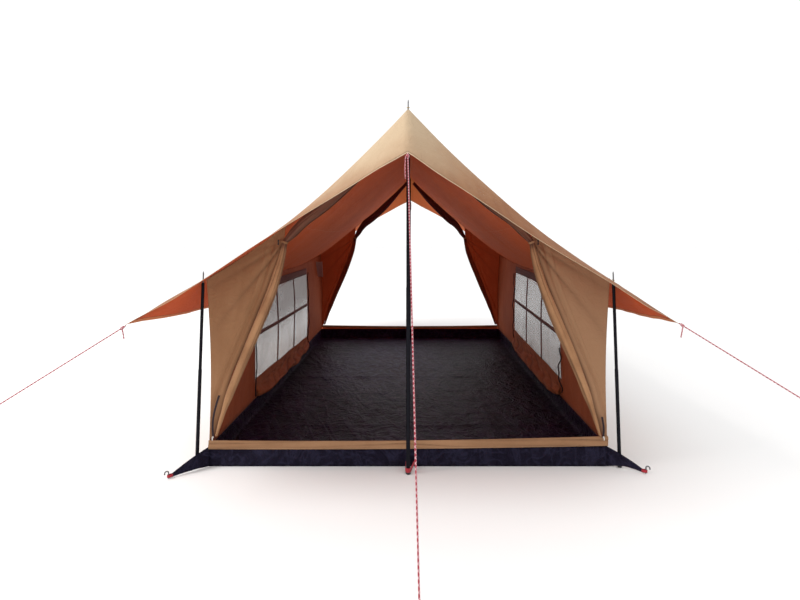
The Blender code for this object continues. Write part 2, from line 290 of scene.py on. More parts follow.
OUTER_TAN = (0.24, 0.093, 0.037)
OUTER_PALE = (0.335, 0.155, 0.070)
# OUTER_RUST_AND_SHADE colours the rust blotches and also the painted shade of the streaks that run to the points;
# OUTER_PAINTED_LIGHT is painted light on the upper and left parts of the roof.
OUTER_RUST_AND_SHADE = (0.215, 0.070, 0.024)
OUTER_PAINTED_LIGHT = (0.51, 0.385, 0.255)
HEM_PALE = (0.66, 0.49, 0.33)
HEM_INSIDE = (0.40, 0.150, 0.055)
# The inner colours are painted light, the red-orange of daylight coming through the canvas; INNER_LOW is painted
# shade, darker low down towards the eaves.
INNER_RED = (0.60, 0.112, 0.031)
INNER_DARK = (0.49, 0.085, 0.022)
INNER_LOW = (0.43, 0.058, 0.010)
SHADE_BROWN = (0.045, 0.016, 0.010)
THREAD_PALE = (0.62, 0.46, 0.31)
STITCH_LENGTH = 0.0065


def canvas(
    name, shade, light, glow=None, sewn=None, marks=None, roughness=0.84, crumple=0.008, lit=None
):
    """Plain-woven cotton: two shades, slubs, thread relief, creases, stitched seams, the stains and painted light
    and shade that marks lists, painted shade in the folds, and a painted glow where glow is given.
    """
    cloth = Finish(name, roughness=roughness, Specular_IOR_Level=0.14, Sheen_Weight=0.03)
    across, along, _ = cloth.parts(cloth.cloth)
    fade = cloth.cloud(1.7, detail=4.0)
    streak = cloth.cloud(1.0, detail=3.0, vector=cloth.stretched(cloth.cloth, (14.0, 1.6, 1.0)))
    slub_warp = cloth.cloud(1.0, detail=2.0, vector=cloth.stretched(cloth.cloth, (900.0, 45.0, 1.0)))
    slub_weft = cloth.cloud(1.0, detail=2.0, vector=cloth.stretched(cloth.cloth, (45.0, 900.0, 1.0)))
    slub = slub_warp * 0.5 + slub_weft * 0.5
    tone = cloth.between(fade * 0.5 + slub * 0.28 + streak * 0.22, 0.34, 0.66)
    colour = cloth.dyed(tone, shade, light)
    # marks lists real stains as well as painted light and shade, each with its share.
    for share, overlay in marks(cloth, across, along) if marks else []:
        colour = cloth.dyed(share, colour, overlay)
    height = slub * 0.6
    if sewn:
        for distance, runs, half_band, row, band_shade in sewn(across, along):
            band = 1.0 - cloth.between(distance, half_band - 0.001, half_band + 0.001)
            rows = 1.0 - cloth.between(abs(distance - row), 0.0005, 0.0011)
            stitch = rows * ((runs / STITCH_LENGTH).fraction() < 0.62)
            if band_shade:
                colour = cloth.dyed(band * 0.8, colour, band_shade)
            colour = cloth.dyed(stitch * 0.5, colour, THREAD_PALE)
            height = height + band * 0.9 - stitch * 0.7
    # Painted shade: darker where the piece stores a fold.
    colour = cloth.dyed(cloth.fold() * 0.8, colour, SHADE_BROWN)
    soft = cloth.cloud(6.5, detail=6.0, roughness=0.62, distortion=0.5)
    ridge = 1.0 - abs(cloth.cloud(9.0, detail=3.0, distortion=1.2) - 0.5) * 2.0
    under = cloth.raised(soft * 0.7 + ridge ** 6.0 * 0.3, crumple, 0.6)
    cloth.wear(
        colour=colour,
        roughness=roughness - 0.06 + cloth.cloud(30.0) * 0.16,
        normal=cloth.raised(height, 0.0006, 0.6, under),
    )
    # Painted glow: emission that stands for daylight coming through the canvas.
    if glow:
        shine = cloth.dyed(tone, tuple(c * 0.8 for c in glow), glow)
        for share, other in lit(cloth, across, along) if lit else []:
            shine = cloth.dyed(share, shine, other)
        cloth.wear(Emission_Color=shine, Emission_Strength=1.0)
    return cloth.material


def tension(point, anchor, reach, spokes, depth, turn=0.0):
    """Height of the folds that run out from a point where the cloth is pulled."""
    offset = Vector(point) - Vector(anchor)
    distance = offset.length
    angle = math.atan2(offset.y, offset.x) + turn
    ease = math.exp(-distance / reach) * min(1.0, distance / (reach * 0.35))
    return depth * ease * math.cos(spokes * angle)


def roof_point(across, along):
    """Across is 0 at the ridge, 1 at the eave, 2 at the outer edge; along is -1 to 1."""
    bow = 1 - along * along
    rear = (along + 1) / 2
    ridge_line = RIDGE_TOP[-1] + (RIDGE_TOP[1] - RIDGE_TOP[-1]) * rear
    ridge = Vector((0, MAIN_POLE_Y * along, ridge_line - RIDGE_SAG * bow))
    eave = Vector((EAVE[0], EAVE[1] * along, EAVE[2] - EAVE_SAG * bow))
    edge = Vector((TIP[0] - SIDE_EDGE_DRAW * bow, TIP[1] * along, TIP[2] - SIDE_EDGE_SAG * bow))
    if across <= 1:
        point = ridge.lerp(eave, across)
        sag = SLOPE_SAG[-1] + (SLOPE_SAG[1] - SLOPE_SAG[-1]) * rear
        point.z -= sag * 4 * across * (1 - across)
        return point
    return eave.lerp(edge, across - 1)


def roof_height(x, y):
    across = abs(x) / EAVE[0]
    reach = MAIN_POLE_Y + (EAVE[1] - MAIN_POLE_Y) * across
    return roof_point(across, y / reach).z


def awning_edge(across, side, end):
    """The hem of an end awning, almost straight from its middle to the tent's two points."""
    reach, height = AWNING_CENTRE[end]
    centre = Vector((0, end * reach, height))
    tip = Vector((TIP[0] + 0.010, end * (TIP[1] + 0.015), TIP[2] - 0.004))
    share = min(1.0, roof_point(across, end).x / TIP[0])
    point = centre.lerp(tip, share)
    point.z += HEM_BOW[(side, end)] * math.sin(math.pi * share)
    for depth, middle, width in HEM_DIPS[(side, end)]:
        point.z -= depth * math.exp(-(((share - middle) / width) ** 2))
    return point


def canopy_point(a, b):
    """The whole canopy from two shares, 0 to 1: a from left edge to right, b from front to rear."""
    across = 2.35 * (2 * a - 1)
    side = -1 if across < 0 else 1
    across = abs(across)
    across = across / 1.35 * 1.0 if across <= 1.35 else 1 + (across - 1.35)
    length = 1.25 * (2 * b - 1)
    if abs(length) <= 1:
        point = roof_point(across, length)
    else:
        end = -1 if length < 0 else 1
        out = (abs(length) - 1) / 0.25
        point = roof_point(across, end).lerp(awning_edge(across, side, end), out)
    pull = TIP_PULL[(side, -1 if length < 0 else 1)]
    near_tip = max(0.0, across - 1) * min(1.0, abs(length)) ** 6
    point.x = (point.x + pull[0] * near_tip) * side
    point.z += pull[1] * near_tip
    lift = 0.008 * noise.noise(Vector((point.x * 2.2, point.y * 1.6, 3.0)))
    lift += 0.005 * noise.noise(Vector((point.x * 1.2, point.y * 7.0, 9.0))) * min(1, across)
    slant = point.x * side * 2.0 + abs(point.y) * 5.0
    lift += 0.005 * noise.noise(Vector((slant, point.z * 1.5, 15.0 + side)))
    for end in (-1, 1):
        peak = (0, end * MAIN_POLE_Y, point.z)
        lift += tension(point, peak, 0.30, 9, 0.005)
        for corner in (-1, 1):
            top = (corner * EAVE[0], end * EAVE[1], point.z)
            lift += tension(point, top, 0.22, 7, 0.004, 0.6)
    point.z += lift
    return point


def canopy_metres(a, b):
    across = 2.35 * (2 * a - 1)
    side = -1 if across < 0 else 1
    across = abs(across)
    run = across / 1.35 * SLOPE_LENGTH
    if across > 1.35:
        run = SLOPE_LENGTH + (across - 1.35) * SIDE_AWNING_LENGTH
    length = 1.25 * (2 * b - 1)
    out = max(0.0, abs(length) - 1) / 0.25 * END_AWNING_LENGTH
    return side * run, math.copysign(min(1, abs(length)) * MAIN_POLE_Y + out, length)


def add_cloth(piece, columns, rows, place, metres, left_out=None, merge=0.00001, folds=None):
    """Adds a cloth to a bmesh as a grid. place, metres and folds take its two shares, 0 to 1."""
    layer = piece.loops.layers.uv.verify()
    depth = piece.verts.layers.float.get("fold") or piece.verts.layers.float.new("fold")
    made = bmesh.ops.create_grid(piece, x_segments=columns, y_segments=rows, size=0.5)["verts"]
    faces = list({face for vertex in made for face in vertex.link_faces})
    for face in faces:
        face.smooth = True
        for loop in face.loops:
            loop[layer].uv = metres(loop.vert.co.x + 0.5, loop.vert.co.y + 0.5)
    if left_out:
        gone = []
        for face in faces:
            middle = face.calc_center_median()
            if left_out(middle.x + 0.5, middle.y + 0.5):
                gone.append(face)
        bmesh.ops.delete(piece, geom=gone, context="FACES")
        made = [vertex for vertex in made if vertex.is_valid]
    for vertex in made:
        if folds:
            vertex[depth] = folds(vertex.co.x + 0.5, vertex.co.y + 0.5)
        vertex.co = place(vertex.co.x + 0.5, vertex.co.y + 0.5)
    bmesh.ops.remove_doubles(piece, verts=made, dist=merge)


def finished(name, piece, materials, node=None, outward=None, recalculate=False):
    """Turns a bmesh into a piece that rides on the tent and stands for its CAD node."""
    if recalculate:
        bmesh.ops.recalc_face_normals(piece, faces=piece.faces)
    elif outward is not None:
        facing = sum(face.normal.dot(Vector(outward)) * face.calc_area() for face in piece.faces)
        if facing < 0:
            bmesh.ops.reverse_faces(piece, faces=piece.faces)
    mesh = bpy.data.meshes.new(name)
    piece.to_mesh(mesh)
    piece.free()
    for material in materials:
        mesh.materials.append(material)
    made = bpy.data.objects.new(name, mesh)
    bpy.context.scene.collection.objects.link(made)
    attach(made, "root")
    if node:
        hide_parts(*([node] if isinstance(node, str) else node))
    return made


def thickened(made, thickness=CANVAS_THICK, offset=-1.0, lining=1):
    """Gives a cloth its thickness, with the second material on the face that looks in."""
    solid = made.modifiers.new("thickness", "SOLIDIFY")
    solid.thickness = thickness
    solid.offset = offset
    solid.use_even_offset = False
    solid.material_offset = lining
    solid.use_quality_normals = True
    return made


def roof_seams(across, along, hem_width, hem_shade):
    """Each seam, hem and patch, and a painted shadow line inside the hem: distance from it, way along it, half
    width, stitch row, shade.
    """
    out, away = abs(across), abs(along)
    side_edge = SLOPE_LENGTH + SIDE_AWNING_LENGTH
    end_edge = MAIN_POLE_Y + END_AWNING_LENGTH
    panels = abs(away - 0.7).smallest(abs(away - MAIN_POLE_Y))
    lengthways = out.smallest(abs(out - SLOPE_LENGTH))
    hem = (side_edge - out).smallest(end_edge - away)
    point_patch = (side_edge - out) + (end_edge - away) - 0.17
    middle_patch = out * 1.2 + (end_edge - away) - 0.11
    pole_patch = out.largest(abs(away - MAIN_POLE_Y)) - 0.055
    corner_patch = abs(out - SLOPE_LENGTH).largest(abs(away - MAIN_POLE_Y)) - 0.05
    patches = point_patch.smallest(middle_patch).smallest(pole_patch).smallest(corner_patch)
    return [
        (panels, across, 0.008, 0.0055, None),
        (lengthways, along, 0.008, 0.0055, None),
        (patches + 0.006, across + along, 0.006, 0.0, None),
        (hem, across + along, hem_width, hem_width - 0.004, hem_shade),
        # A painted shadow line along the inner edge of the hem.
        (abs(hem - hem_width - 0.002), along, 0.002, 1.0, SHADE_BROWN),
    ]


def point_pull(cloth, across, along):
    """How near a place is to one of the roof's points, and the streaks that run to it."""
    from_side = SLOPE_LENGTH + SIDE_AWNING_LENGTH - abs(across)
    from_end = MAIN_POLE_Y + END_AWNING_LENGTH - abs(along)
    reach = from_side + from_end
    fan = cloth.node("ShaderNodeCombineXYZ", _0=from_side.angle(from_end) * 9.0, _1=reach * 0.6)
    near = 1.0 - cloth.between(reach, 0.06, 0.75)
    return near, near * cloth.between(cloth.cloud(1.0, vector=fan.outputs[0]), 0.45, 0.62)


def outer_stains_and_painted_light(cloth, across, along):
    # Rust blotches are stains; the darker streaks that fan out to the points are painted shade; the roof painted
    # paler towards the peak and on the left is painted light.
    near, streaks = point_pull(cloth, across, along)
    x, _, z = cloth.parts(cloth.place)
    blotch = cloth.between(cloth.cloud(2.6, detail=5.0, roughness=0.6), 0.48, 0.70)
    height = z + cloth.cloud(1.9, detail=4.0) * 0.5 - x * 0.20
    return [
        (blotch * 0.55, OUTER_RUST_AND_SHADE), (streaks * 0.5, OUTER_RUST_AND_SHADE),
        (cloth.between(height, 1.72, 2.42), OUTER_PAINTED_LIGHT),
    ]


def inner_painted_shade(cloth, across, along):
    # Painted shade on the underside: darker and more orange towards the eaves, darker near the points and along the
    # streaks that run to them, painted shadow lines at the wall tops and along the hems, and duller along the ridge.
    near, streaks = point_pull(cloth, across, along)
    height = cloth.parts(cloth.place)[2]
    spread = 0.006 + cloth.between(abs(across), 0.7, 1.7) * 0.036
    wall_line = abs(abs(along) - MAIN_POLE_Y - 0.015) / spread
    hem_line = (MAIN_POLE_Y + END_AWNING_LENGTH - abs(along)) / spread
    return [
        ((1.0 - cloth.between(height, 1.15, 1.75)) * 0.9, INNER_LOW),
        (near * 0.75, (0.20, 0.050, 0.014)), (streaks * 0.6, SHADE_BROWN),
        ((1.0 - cloth.between(wall_line, 0.4, 1.0)) * 0.75, SHADE_BROWN),
        ((1.0 - cloth.between(hem_line, 0.5, 1.0)) * 0.65, SHADE_BROWN),
        ((1.0 - cloth.between(abs(across), 0.0, 0.5)) * 0.25, (0.30, 0.055, 0.045)),
    ]


def inner_light(cloth, across, along):
    """Painted glow for daylight that comes through the cloth: most at the rear awning, least at the points."""
    near, _ = point_pull(cloth, across, along)
    rear = cloth.between(cloth.parts(cloth.place)[1], 2.04, 2.10)
    return [(rear, (0.165, 0.052, 0.016)), (near * 0.65, (0.020, 0.0036, 0.0006))]


roof_outer = canvas(
    "canvas_roof_outer", OUTER_TAN, OUTER_PALE, marks=outer_stains_and_painted_light, crumple=0.014,
    sewn=lambda across, along: roof_seams(across, along, 0.011, HEM_PALE),
)
roof_inner = canvas(
    "canvas_roof_inner", INNER_DARK, INNER_RED, glow=(0.064, 0.0125, 0.0025), marks=inner_painted_shade,
    sewn=lambda across, along: roof_seams(across, along, 0.026, HEM_INSIDE),
    lit=inner_light, crumple=0.012,
)
roof_shape = bmesh.new()
add_cloth(roof_shape, ROOF_COLUMNS, ROOF_ROWS, canopy_point, canopy_metres)
roof = finished(
    "roof_canopy", roof_shape, [roof_outer, roof_inner],
    ["roof_slope_left", "roof_slope_right", "awning_front", "awning_rear"], (0, 0, 1),
)
thickened(roof)


# Side walls of the same canvas, sewn to the roof over the corner poles and to the groundsheet.
# Each has a window of grey mesh in six panes, crossed by sewn canvas bars, and the cloth under
# the window hangs a little inward. The zip of the window's cover is stopped at the sill.
SKIRT_TOP = 0.125
FLOOR_X = 1.235
FLOOR_Y = 2.0
WALL_DRAW = 0.018
WINDOW = {
    -1: {"near": -1.09, "far": 0.96, "low": (0.29, 0.225), "high": (0.965, 0.97)},
    1: {"near": -1.04, "far": 0.82, "low": (0.275, 0.33), "high": (0.97, 1.0)},
}
POST_WIDTH = 0.026
RAIL_WIDTH = 0.030
WALL_TAN = (0.24, 0.115, 0.054)
WALL_PALE = (0.305, 0.158, 0.080)
WALL_PAINTED_LIGHT = (0.345, 0.195, 0.110)
SIDE_TAN = (0.30, 0.16, 0.082)
SIDE_PALE = (0.38, 0.215, 0.118)
# The wall's inner face is painted light: the red-orange of daylight coming through the canvas.
WALL_BACKLIT_RED = (0.36, 0.098, 0.038)
WALL_BACKLIT_DARK = (0.26, 0.062, 0.024)
SIDE_NAMES = {-1: "left", 1: "right"}
END_NAMES = {-1: "front", 1: "rear"}


def wall_x(z):
    share = (z - SKIRT_TOP) / (EAVE[2] - SKIRT_TOP)
    return FLOOR_X + 0.015 * share - WALL_DRAW * math.sin(math.pi * min(1, max(0, share)))


def stops_of(marks, step):
    """Marks with even steps filled in between them, each step about the size given."""
    made = [marks[0]]
    for low, high in zip(marks, marks[1:]):
        count = max(1, round((high - low) / step))
        made += [low + (high - low) * (i + 1) / count for i in range(count)]
    return made


def window_rows(side, y):
    """Heights of the window's sill, rail and head at a place along the wall."""
    window = WINDOW[side]
    share = min(1, max(0, (y - window["near"]) / (window["far"] - window["near"])))
    low = window["low"][0] + (window["low"][1] - window["low"][0]) * share
    high = window["high"][0] + (window["high"][1] - window["high"][0]) * share
    return low, (low + high) / 2 + 0.01, high


def wall_point(side, y, z):
    """A point of a side wall's outer face, with the slack of the cloth."""
    low, _, high = window_rows(side, y)
    wave = 0.006 * noise.noise(Vector((y * 1.7, z * 2.5, 5.0 + side)))
    wave += 0.004 * math.sin(y * 9.0 + z * 3.0) * max(0, 1 - abs(z - 0.2) / 0.25)
    pinned = max(0.0, min(1.0, (2.0 - abs(y)) / 0.25)) * min(1.0, max(0.0, (z - SKIRT_TOP) / 0.05))
    x = wall_x(z) + 0.002 + wave * pinned
    return Vector((side * x, y, z))


for side, side_name in SIDE_NAMES.items():
    window = WINDOW[side]
    bay = (window["far"] - window["near"]) / 3
    posts = [window["near"] + bay, window["near"] + 2 * bay]
    marks = [-FLOOR_Y - 0.001, window["near"]]
    for post in posts:
        marks += [post - POST_WIDTH / 2, post + POST_WIDTH / 2]
    marks += [window["far"], FLOOR_Y + 0.001]
    along_stops = stops_of(marks, 0.045)
    panes = list(zip(marks[1::2], marks[2::2]))
    up_counts = [5, 8, 1, 8, 5]

    def wall_stops(y, side=side):
        low, rail, high = window_rows(side, y)
        top = roof_height(FLOOR_X + 0.01, y) - 0.004
        marks_up = [SKIRT_TOP, low, rail - RAIL_WIDTH / 2, rail + RAIL_WIDTH / 2, high, top]
        made = [marks_up[0]]
        for count, (start, stop) in zip(up_counts, zip(marks_up, marks_up[1:])):
            made += [start + (stop - start) * (i + 1) / count for i in range(count)]
        return made

    def wall_place(a, b, side=side, along_stops=along_stops):
        y = along_stops[round(a * (len(along_stops) - 1))]
        heights = wall_stops(y, side)
        return wall_point(side, y, heights[round(b * (len(heights) - 1))])

    def wall_metres(a, b, along_stops=along_stops):
        return along_stops[round(a * (len(along_stops) - 1))], b * 1.0

    def in_pane(a, b, side=side, along_stops=along_stops, panes=panes):
        y = along_stops[0]
        position = a * (len(along_stops) - 1)
        first = int(position)
        y = along_stops[first] + (along_stops[first + 1] - along_stops[first]) * (position - first)
        row = b * sum(up_counts)
        open_row = up_counts[0] < row < up_counts[0] + up_counts[1]
        open_row = open_row or sum(up_counts[:3]) < row < sum(up_counts[:4])
        return open_row and any(start < y < stop for start, stop in panes)

    if side == -1:
        wall_outer = canvas("canvas_wall_outer", SIDE_TAN, SIDE_PALE)
        # Painted light: the inner face's red-orange colours and glow stand for daylight through the canvas.
        wall_inner = canvas("canvas_wall_inner", WALL_BACKLIT_DARK, WALL_BACKLIT_RED, glow=(0.022, 0.0035, 0.0008))
    wall_shape = bmesh.new()
    add_cloth(
        wall_shape, len(along_stops) - 1, sum(up_counts), wall_place, wall_metres, in_pane
    )
    wall = finished(
        f"side_wall_canvas_{side_name}", wall_shape, [wall_outer, wall_inner],
        f"side_wall_{side_name}", (side, 0, 0),
    )
    thickened(wall)

    if side == -1:
        net = Finish("insect_mesh", roughness=0.7)
        net_u, net_v, _ = net.parts(net.cloth)
        net_tone = net.cloud(3.0, detail=5.0, distortion=1.0)
        net_x, _, net_z = net.parts(net.place)
        # Darker, browner and less clear over the upper panes of the left window.
        upper_left_panes = (1.0 - net.between(net_x, -0.5, 0.5)) * net.between(net_z, 0.42, 0.80)
        insect_mesh = net.wear(
            colour=net.dyed(
                upper_left_panes, net.dyed(net_tone, (0.21, 0.19, 0.18), (0.31, 0.285, 0.28)),
                net.dyed(net_tone, (0.165, 0.108, 0.092), (0.25, 0.185, 0.165)),
            ),
            Alpha=0.37 + upper_left_panes * 0.16 + net_tone * 0.18,
            normal=net.raised(net.cloud(6.0, detail=4.0), 0.004, 0.4),
        )

    def net_place(a, b, side=side, window=window):
        y = window["near"] - 0.01 + (window["far"] - window["near"] + 0.02) * a
        low, _, high = window_rows(side, y)
        point = wall_point(side, y, low - 0.01 + (high - low + 0.02) * b)
        point.x -= side * 0.0022
        return point

    net_shape = bmesh.new()
    add_cloth(net_shape, 44, 18, net_place, lambda a, b: (a * 2.05, b * 0.7))
    window_net = finished(
        f"window_net_{side_name}", net_shape, [insect_mesh],
        f"window_mesh_{side_name}", (side, 0, 0),
    )
    thickened(window_net, 0.0004, lining=0)


# The cover of each window is unzipped, let down inside and left in loose folds under the sill.
# It is a flap of the wall's own canvas; its zip's black tape runs down both ends of the window.
COVER_STEPS = (110, 40)
COVER_LINE = [
    (0.001, 0.0), (0.010, 0.25), (0.018, 0.48), (0.020, 0.55), (0.034, 0.60), (0.058, 0.70),
    (0.068, 0.82), (0.060, 0.93), (0.036, 0.985), (0.014, 0.97), (0.004, 0.90), (0.003, 0.80),
]


def along_line(points, share):
    """The point at a share of a line's length, from its corners."""
    steps = [math.dist(a, b) for a, b in zip(points, points[1:])]
    left = share * sum(steps)
    for start, stop, step in zip(points, points[1:], steps):
        if left <= step or stop is points[-1]:
            part = min(1.0, left / step)
            return tuple(s + (e - s) * part for s, e in zip(start, stop))
        left -= step


def cover_crease(side, a, b):
    """Slanting tucks of the loose cover, 0 to 1 at the bottom of each."""
    y = 2.0 * a
    slant = y * 13.0 + b * 7.0 + 2.0 * noise.noise(Vector((y * 2.3, b * 2.0, 5.0 * side)))
    strength = 0.5 + 0.9 * noise.noise(Vector((y * 2.6, b * 3.0, 9.0 + side)))
    return max(0.0, min(1.0, strength)) * (1 - abs(math.sin(slant))) ** 3 * min(1.0, 4 * b)


def cover_point(side, a, b):
    """a runs along the window, b from its sill down, round the fold and back up to the wall."""
    window = WINDOW[side]
    y = window["near"] + 0.01 + (window["far"] - window["near"] - 0.02) * a
    low, _, _ = window_rows(side, y)
    ends = max(0.0, min(1.0, 9 * a, 7 * (1 - a))) ** 0.5
    inward, drop = along_line(COVER_LINE, b)
    depth = (low - 0.012) * (0.50 + 0.13 * ends)
    fold = min(1.0, max(0.0, (b - 0.15) / 0.15)) * ends
    wave = 0.024 * noise.noise(Vector((y * 3.1, 2.0 + side, 4.0))) * fold
    crease = 0.012 * noise.noise(Vector((y * 5.0 + b * 6.0, b * 8.0 - y * 5.0, side))) * fold
    tuck = 0.012 * cover_crease(side, a, b) * fold
    x = wall_x(low - depth * drop) - 0.002 - inward * (0.35 + 0.65 * ends) - (wave + crease - tuck) * 0.8
    z = low - depth * drop - wave * 0.6 * drop + crease * 0.5
    return Vector((side * min(x, wall_x(z) - 0.003 * min(1, 8 * b)), y, max(0.012, z)))


cover_cloth = canvas("canvas_cover", (0.27, 0.075, 0.028), (0.40, 0.125, 0.050), crumple=0.014)
for side, side_name in SIDE_NAMES.items():
    cover_shape = bmesh.new()
    # folds stores painted shade in the cover's tucks.
    add_cloth(
        cover_shape, *COVER_STEPS, lambda a, b, side=side: cover_point(side, a, b),
        lambda a, b: (a * 2.0, b * 0.4), folds=lambda a, b, side=side: cover_crease(side, a, b),
    )
    cover = finished(
        f"window_flap_{side_name}", cover_shape, [cover_cloth],
        f"window_cover_{side_name}", (-side, 0, 0.3),
    )
    thickened(cover, lining=0)


# Bindings and zips of the windows: brown tape is sewn over the bars and along the head, and a
# black zip stands proud of the wall down both ends of each window, wavy where it is undone.
def add_tape(shape, points, lay, width, rise=(0, 0, 0), runs_from=0.0):
    """A tape along a line of points: lay is the way of its width, rise lifts its middle."""
    lay, rise = Vector(lay).normalized(), Vector(rise)
    rows = len(points) - 1
    lengths = [runs_from]
    for start, stop in zip(points, points[1:]):
        lengths.append(lengths[-1] + (Vector(stop) - Vector(start)).length)

    def place(a, b):
        lift = 1.0 if 0.2 < a < 0.8 else 0.0
        return Vector(points[round(b * rows)]) + lay * width * (a - 0.5) + rise * lift

    add_cloth(shape, 4, rows, place, lambda a, b: ((a - 0.5) * width, lengths[round(b * rows)]))


brown = Finish("brown_binding_tape", roughness=0.8, Specular_IOR_Level=0.2)
brown_u, brown_v, _ = brown.parts(brown.cloth)
brown_ribs = (brown_v * (2 * math.pi / 0.0018)).sine()
binding_tape = brown.wear(
    colour=brown.dyed(brown.cloud(25.0, detail=4.0), (0.15, 0.068, 0.064), (0.22, 0.11, 0.10)),
    roughness=0.74 + brown.cloud(60.0) * 0.2,
    normal=brown.raised(brown_ribs, 0.0004, 0.5),
)
coil = Finish("black_zip_tape", roughness=0.6, Specular_IOR_Level=0.25)
coil_u, coil_v, _ = coil.parts(coil.cloth)
teeth = 1.0 - coil.between(abs(coil_u), 0.0022, 0.0028)
tooth = ((coil_v / 0.0014).fraction() < 0.5) * teeth
zip_tape = coil.wear(
    colour=coil.dyed(teeth, (0.045, 0.022, 0.026), (0.006, 0.005, 0.006)),
    roughness=0.7 - teeth * 0.35 + coil.cloud(80.0) * 0.15,
    normal=coil.raised(teeth * 0.6 + tooth * 0.5, 0.001, 0.8),
)


WINDOW_ZIPS = {
    -1: ((0.972, 0.99, 0.15, 0.007, 0.010), (-1.102, 0.62, 0.15, 0.003, 0.009)),
    1: ((0.832, 0.99, 0.15, 0.010, 0.010), (-1.052, 0.53, 0.17, 0.016, 0.011)),
}


for side, side_name in SIDE_NAMES.items():
    window = WINDOW[side]
    bay = (window["far"] - window["near"]) / 3

    def beside_wall(y, z, off, side=side):
        point = wall_point(side, y, z)
        point.x -= side * (0.0035 + off)
        return point

    binding_shape = bmesh.new()
    for post in (window["near"] + bay, window["near"] + 2 * bay):
        low, _, high = window_rows(side, post)
        line = [beside_wall(post, low + (high - low) * i / 16, 0.0) for i in range(17)]
        add_tape(binding_shape, line, (0, 1, 0), POST_WIDTH, (-side * 0.004, 0, 0))
    stations = [window["near"] + 0.006 + (window["far"] - window["near"] - 0.012) * i / 40 for i in range(41)]
    rail = [beside_wall(y, window_rows(side, y)[1], 0.001) for y in stations]
    add_tape(binding_shape, rail, (0, 0, 1), RAIL_WIDTH, (-side * 0.005, 0, 0))
    head = [beside_wall(y, window_rows(side, y)[2] + 0.034, 0.0) for y in stations]
    add_tape(binding_shape, head, (0, 0, 1), 0.075, (-side * 0.004, 0, 0))
    binding = finished(
        f"window_binding_{side_name}", binding_shape, [binding_tape], None, (-side, 0, 0)
    )
    thickened(binding, 0.0012, 0.0, lining=0)

    zip_shape = bmesh.new()
    for y, start, stop, wave, width in WINDOW_ZIPS[side]:
        line = []
        for i in range(49):
            z = start + (stop - start) * i / 48
            curl = wave * math.sin(z * 21.0 + side) + 0.5 * wave * math.sin(z * 53.0)
            line.append(beside_wall(y + curl, z, 0.011 + 0.4 * curl))
        add_tape(zip_shape, line, (1, 0.25, 0), width)
    zips = finished(f"window_zip_{side_name}", zip_shape, [zip_tape], None, (0, -1, 0))
    thickened(zips, 0.0012, 0.0, lining=0)


# A pale cloth tab hangs inside from the head of the left wall, near the back: it is the cover of
# the opening for a cable, sewn on by its top edge only.
def tab_point(a, b):
    z = 1.085 - 0.20 * b
    inward = 0.004 + 0.085 * a * (1 - 0.15 * b) + 0.012 * b
    curl = 0.014 * math.sin(2.6 * a + 1.2 * b) * b
    return Vector((-(wall_x(z) - inward), 1.585 + curl, z))


tab_cloth = canvas("canvas_tab", (0.36, 0.21, 0.20), (0.48, 0.30, 0.28))
tab_shape = bmesh.new()
add_cloth(tab_shape, 12, 24, tab_point, lambda a, b: (a * 0.09, b * 0.2))
tab = finished("cable_tab", tab_shape, [tab_cloth], None, (0, -1, 0))
thickened(tab, 0.0016, 0.0, lining=0)


# End walls: the cloth between each corner of the tent and its tied-back door. The pull of the tie
# draws it into pleats that start at the tie and run down and out, and a seam follows the door.
TIE = (0.768, 1.395)
DOOR_EDGE = [
    (0.768, 1.395), (0.806, 1.27), (0.858, 1.13), (0.918, 0.99), (0.966, 0.87), (1.022, 0.743),
    (1.082, 0.61), (1.118, 0.51), (1.142, 0.40), (1.176, 0.275), (1.206, 0.19),
]
EDGE_TUCK = {-1: 0.004, 1: 0.024}
EDGE_REACH = [(0.0, 1.206), (0.45, 1.022), (0.9, 0.768), (1.0, 0.758)]
SILL_TOP = 0.17


def tie_pleat(x, z):
    """How strongly the tie gathers the wall at a place, and how deep in a crease that is."""
    distance = math.hypot(x - TIE[0], z - TIE[1])
    angle = math.atan2(TIE[1] - z, x - TIE[0])
    near = math.exp(-distance / 0.24) * min(1.0, distance / 0.04)
    near *= 0.25 + 0.75 * min(1.0, max(0.0, (angle - 0.35) / 0.4))
    return near, (1 - abs(math.sin(9.5 * angle + 0.5 * math.sin(3 * distance) + 0.4))) ** 1.4


def read_off(table, share):
    for (low, start), (high, stop) in zip(table, table[1:]):
        if share <= high:
            part = (share - low) / (high - low)
            return start + (stop - start) * part * part * (3 - 2 * part)
    return table[-1][1]


def end_wall_fold(side, end, a, b):
    # The painted shade stored with each end wall: in the tie's pleats, in the pucker at the foot corner, and beside
    # the door's edge where the bundle hangs.
    point = end_wall_point(side, end, a, b)
    near, crease = tie_pleat(abs(point.x), point.z)
    corner = math.hypot(abs(point.x) - 1.23, point.z - 0.19)
    pucker = math.exp(-corner / 0.06) * abs(math.sin(6 * math.atan2(point.z - 0.15, abs(point.x) - 1.2))) ** 4
    edge = math.exp(-(((1 - a) * (1.24 - read_off(EDGE_REACH, b)) / 0.024) ** 2))
    edge *= 1.0 if b < 0.88 else 0.0
    return min(1.0, 1.25 * near ** 0.8 * crease ** 2.2 + 0.7 * pucker + 0.75 * edge)


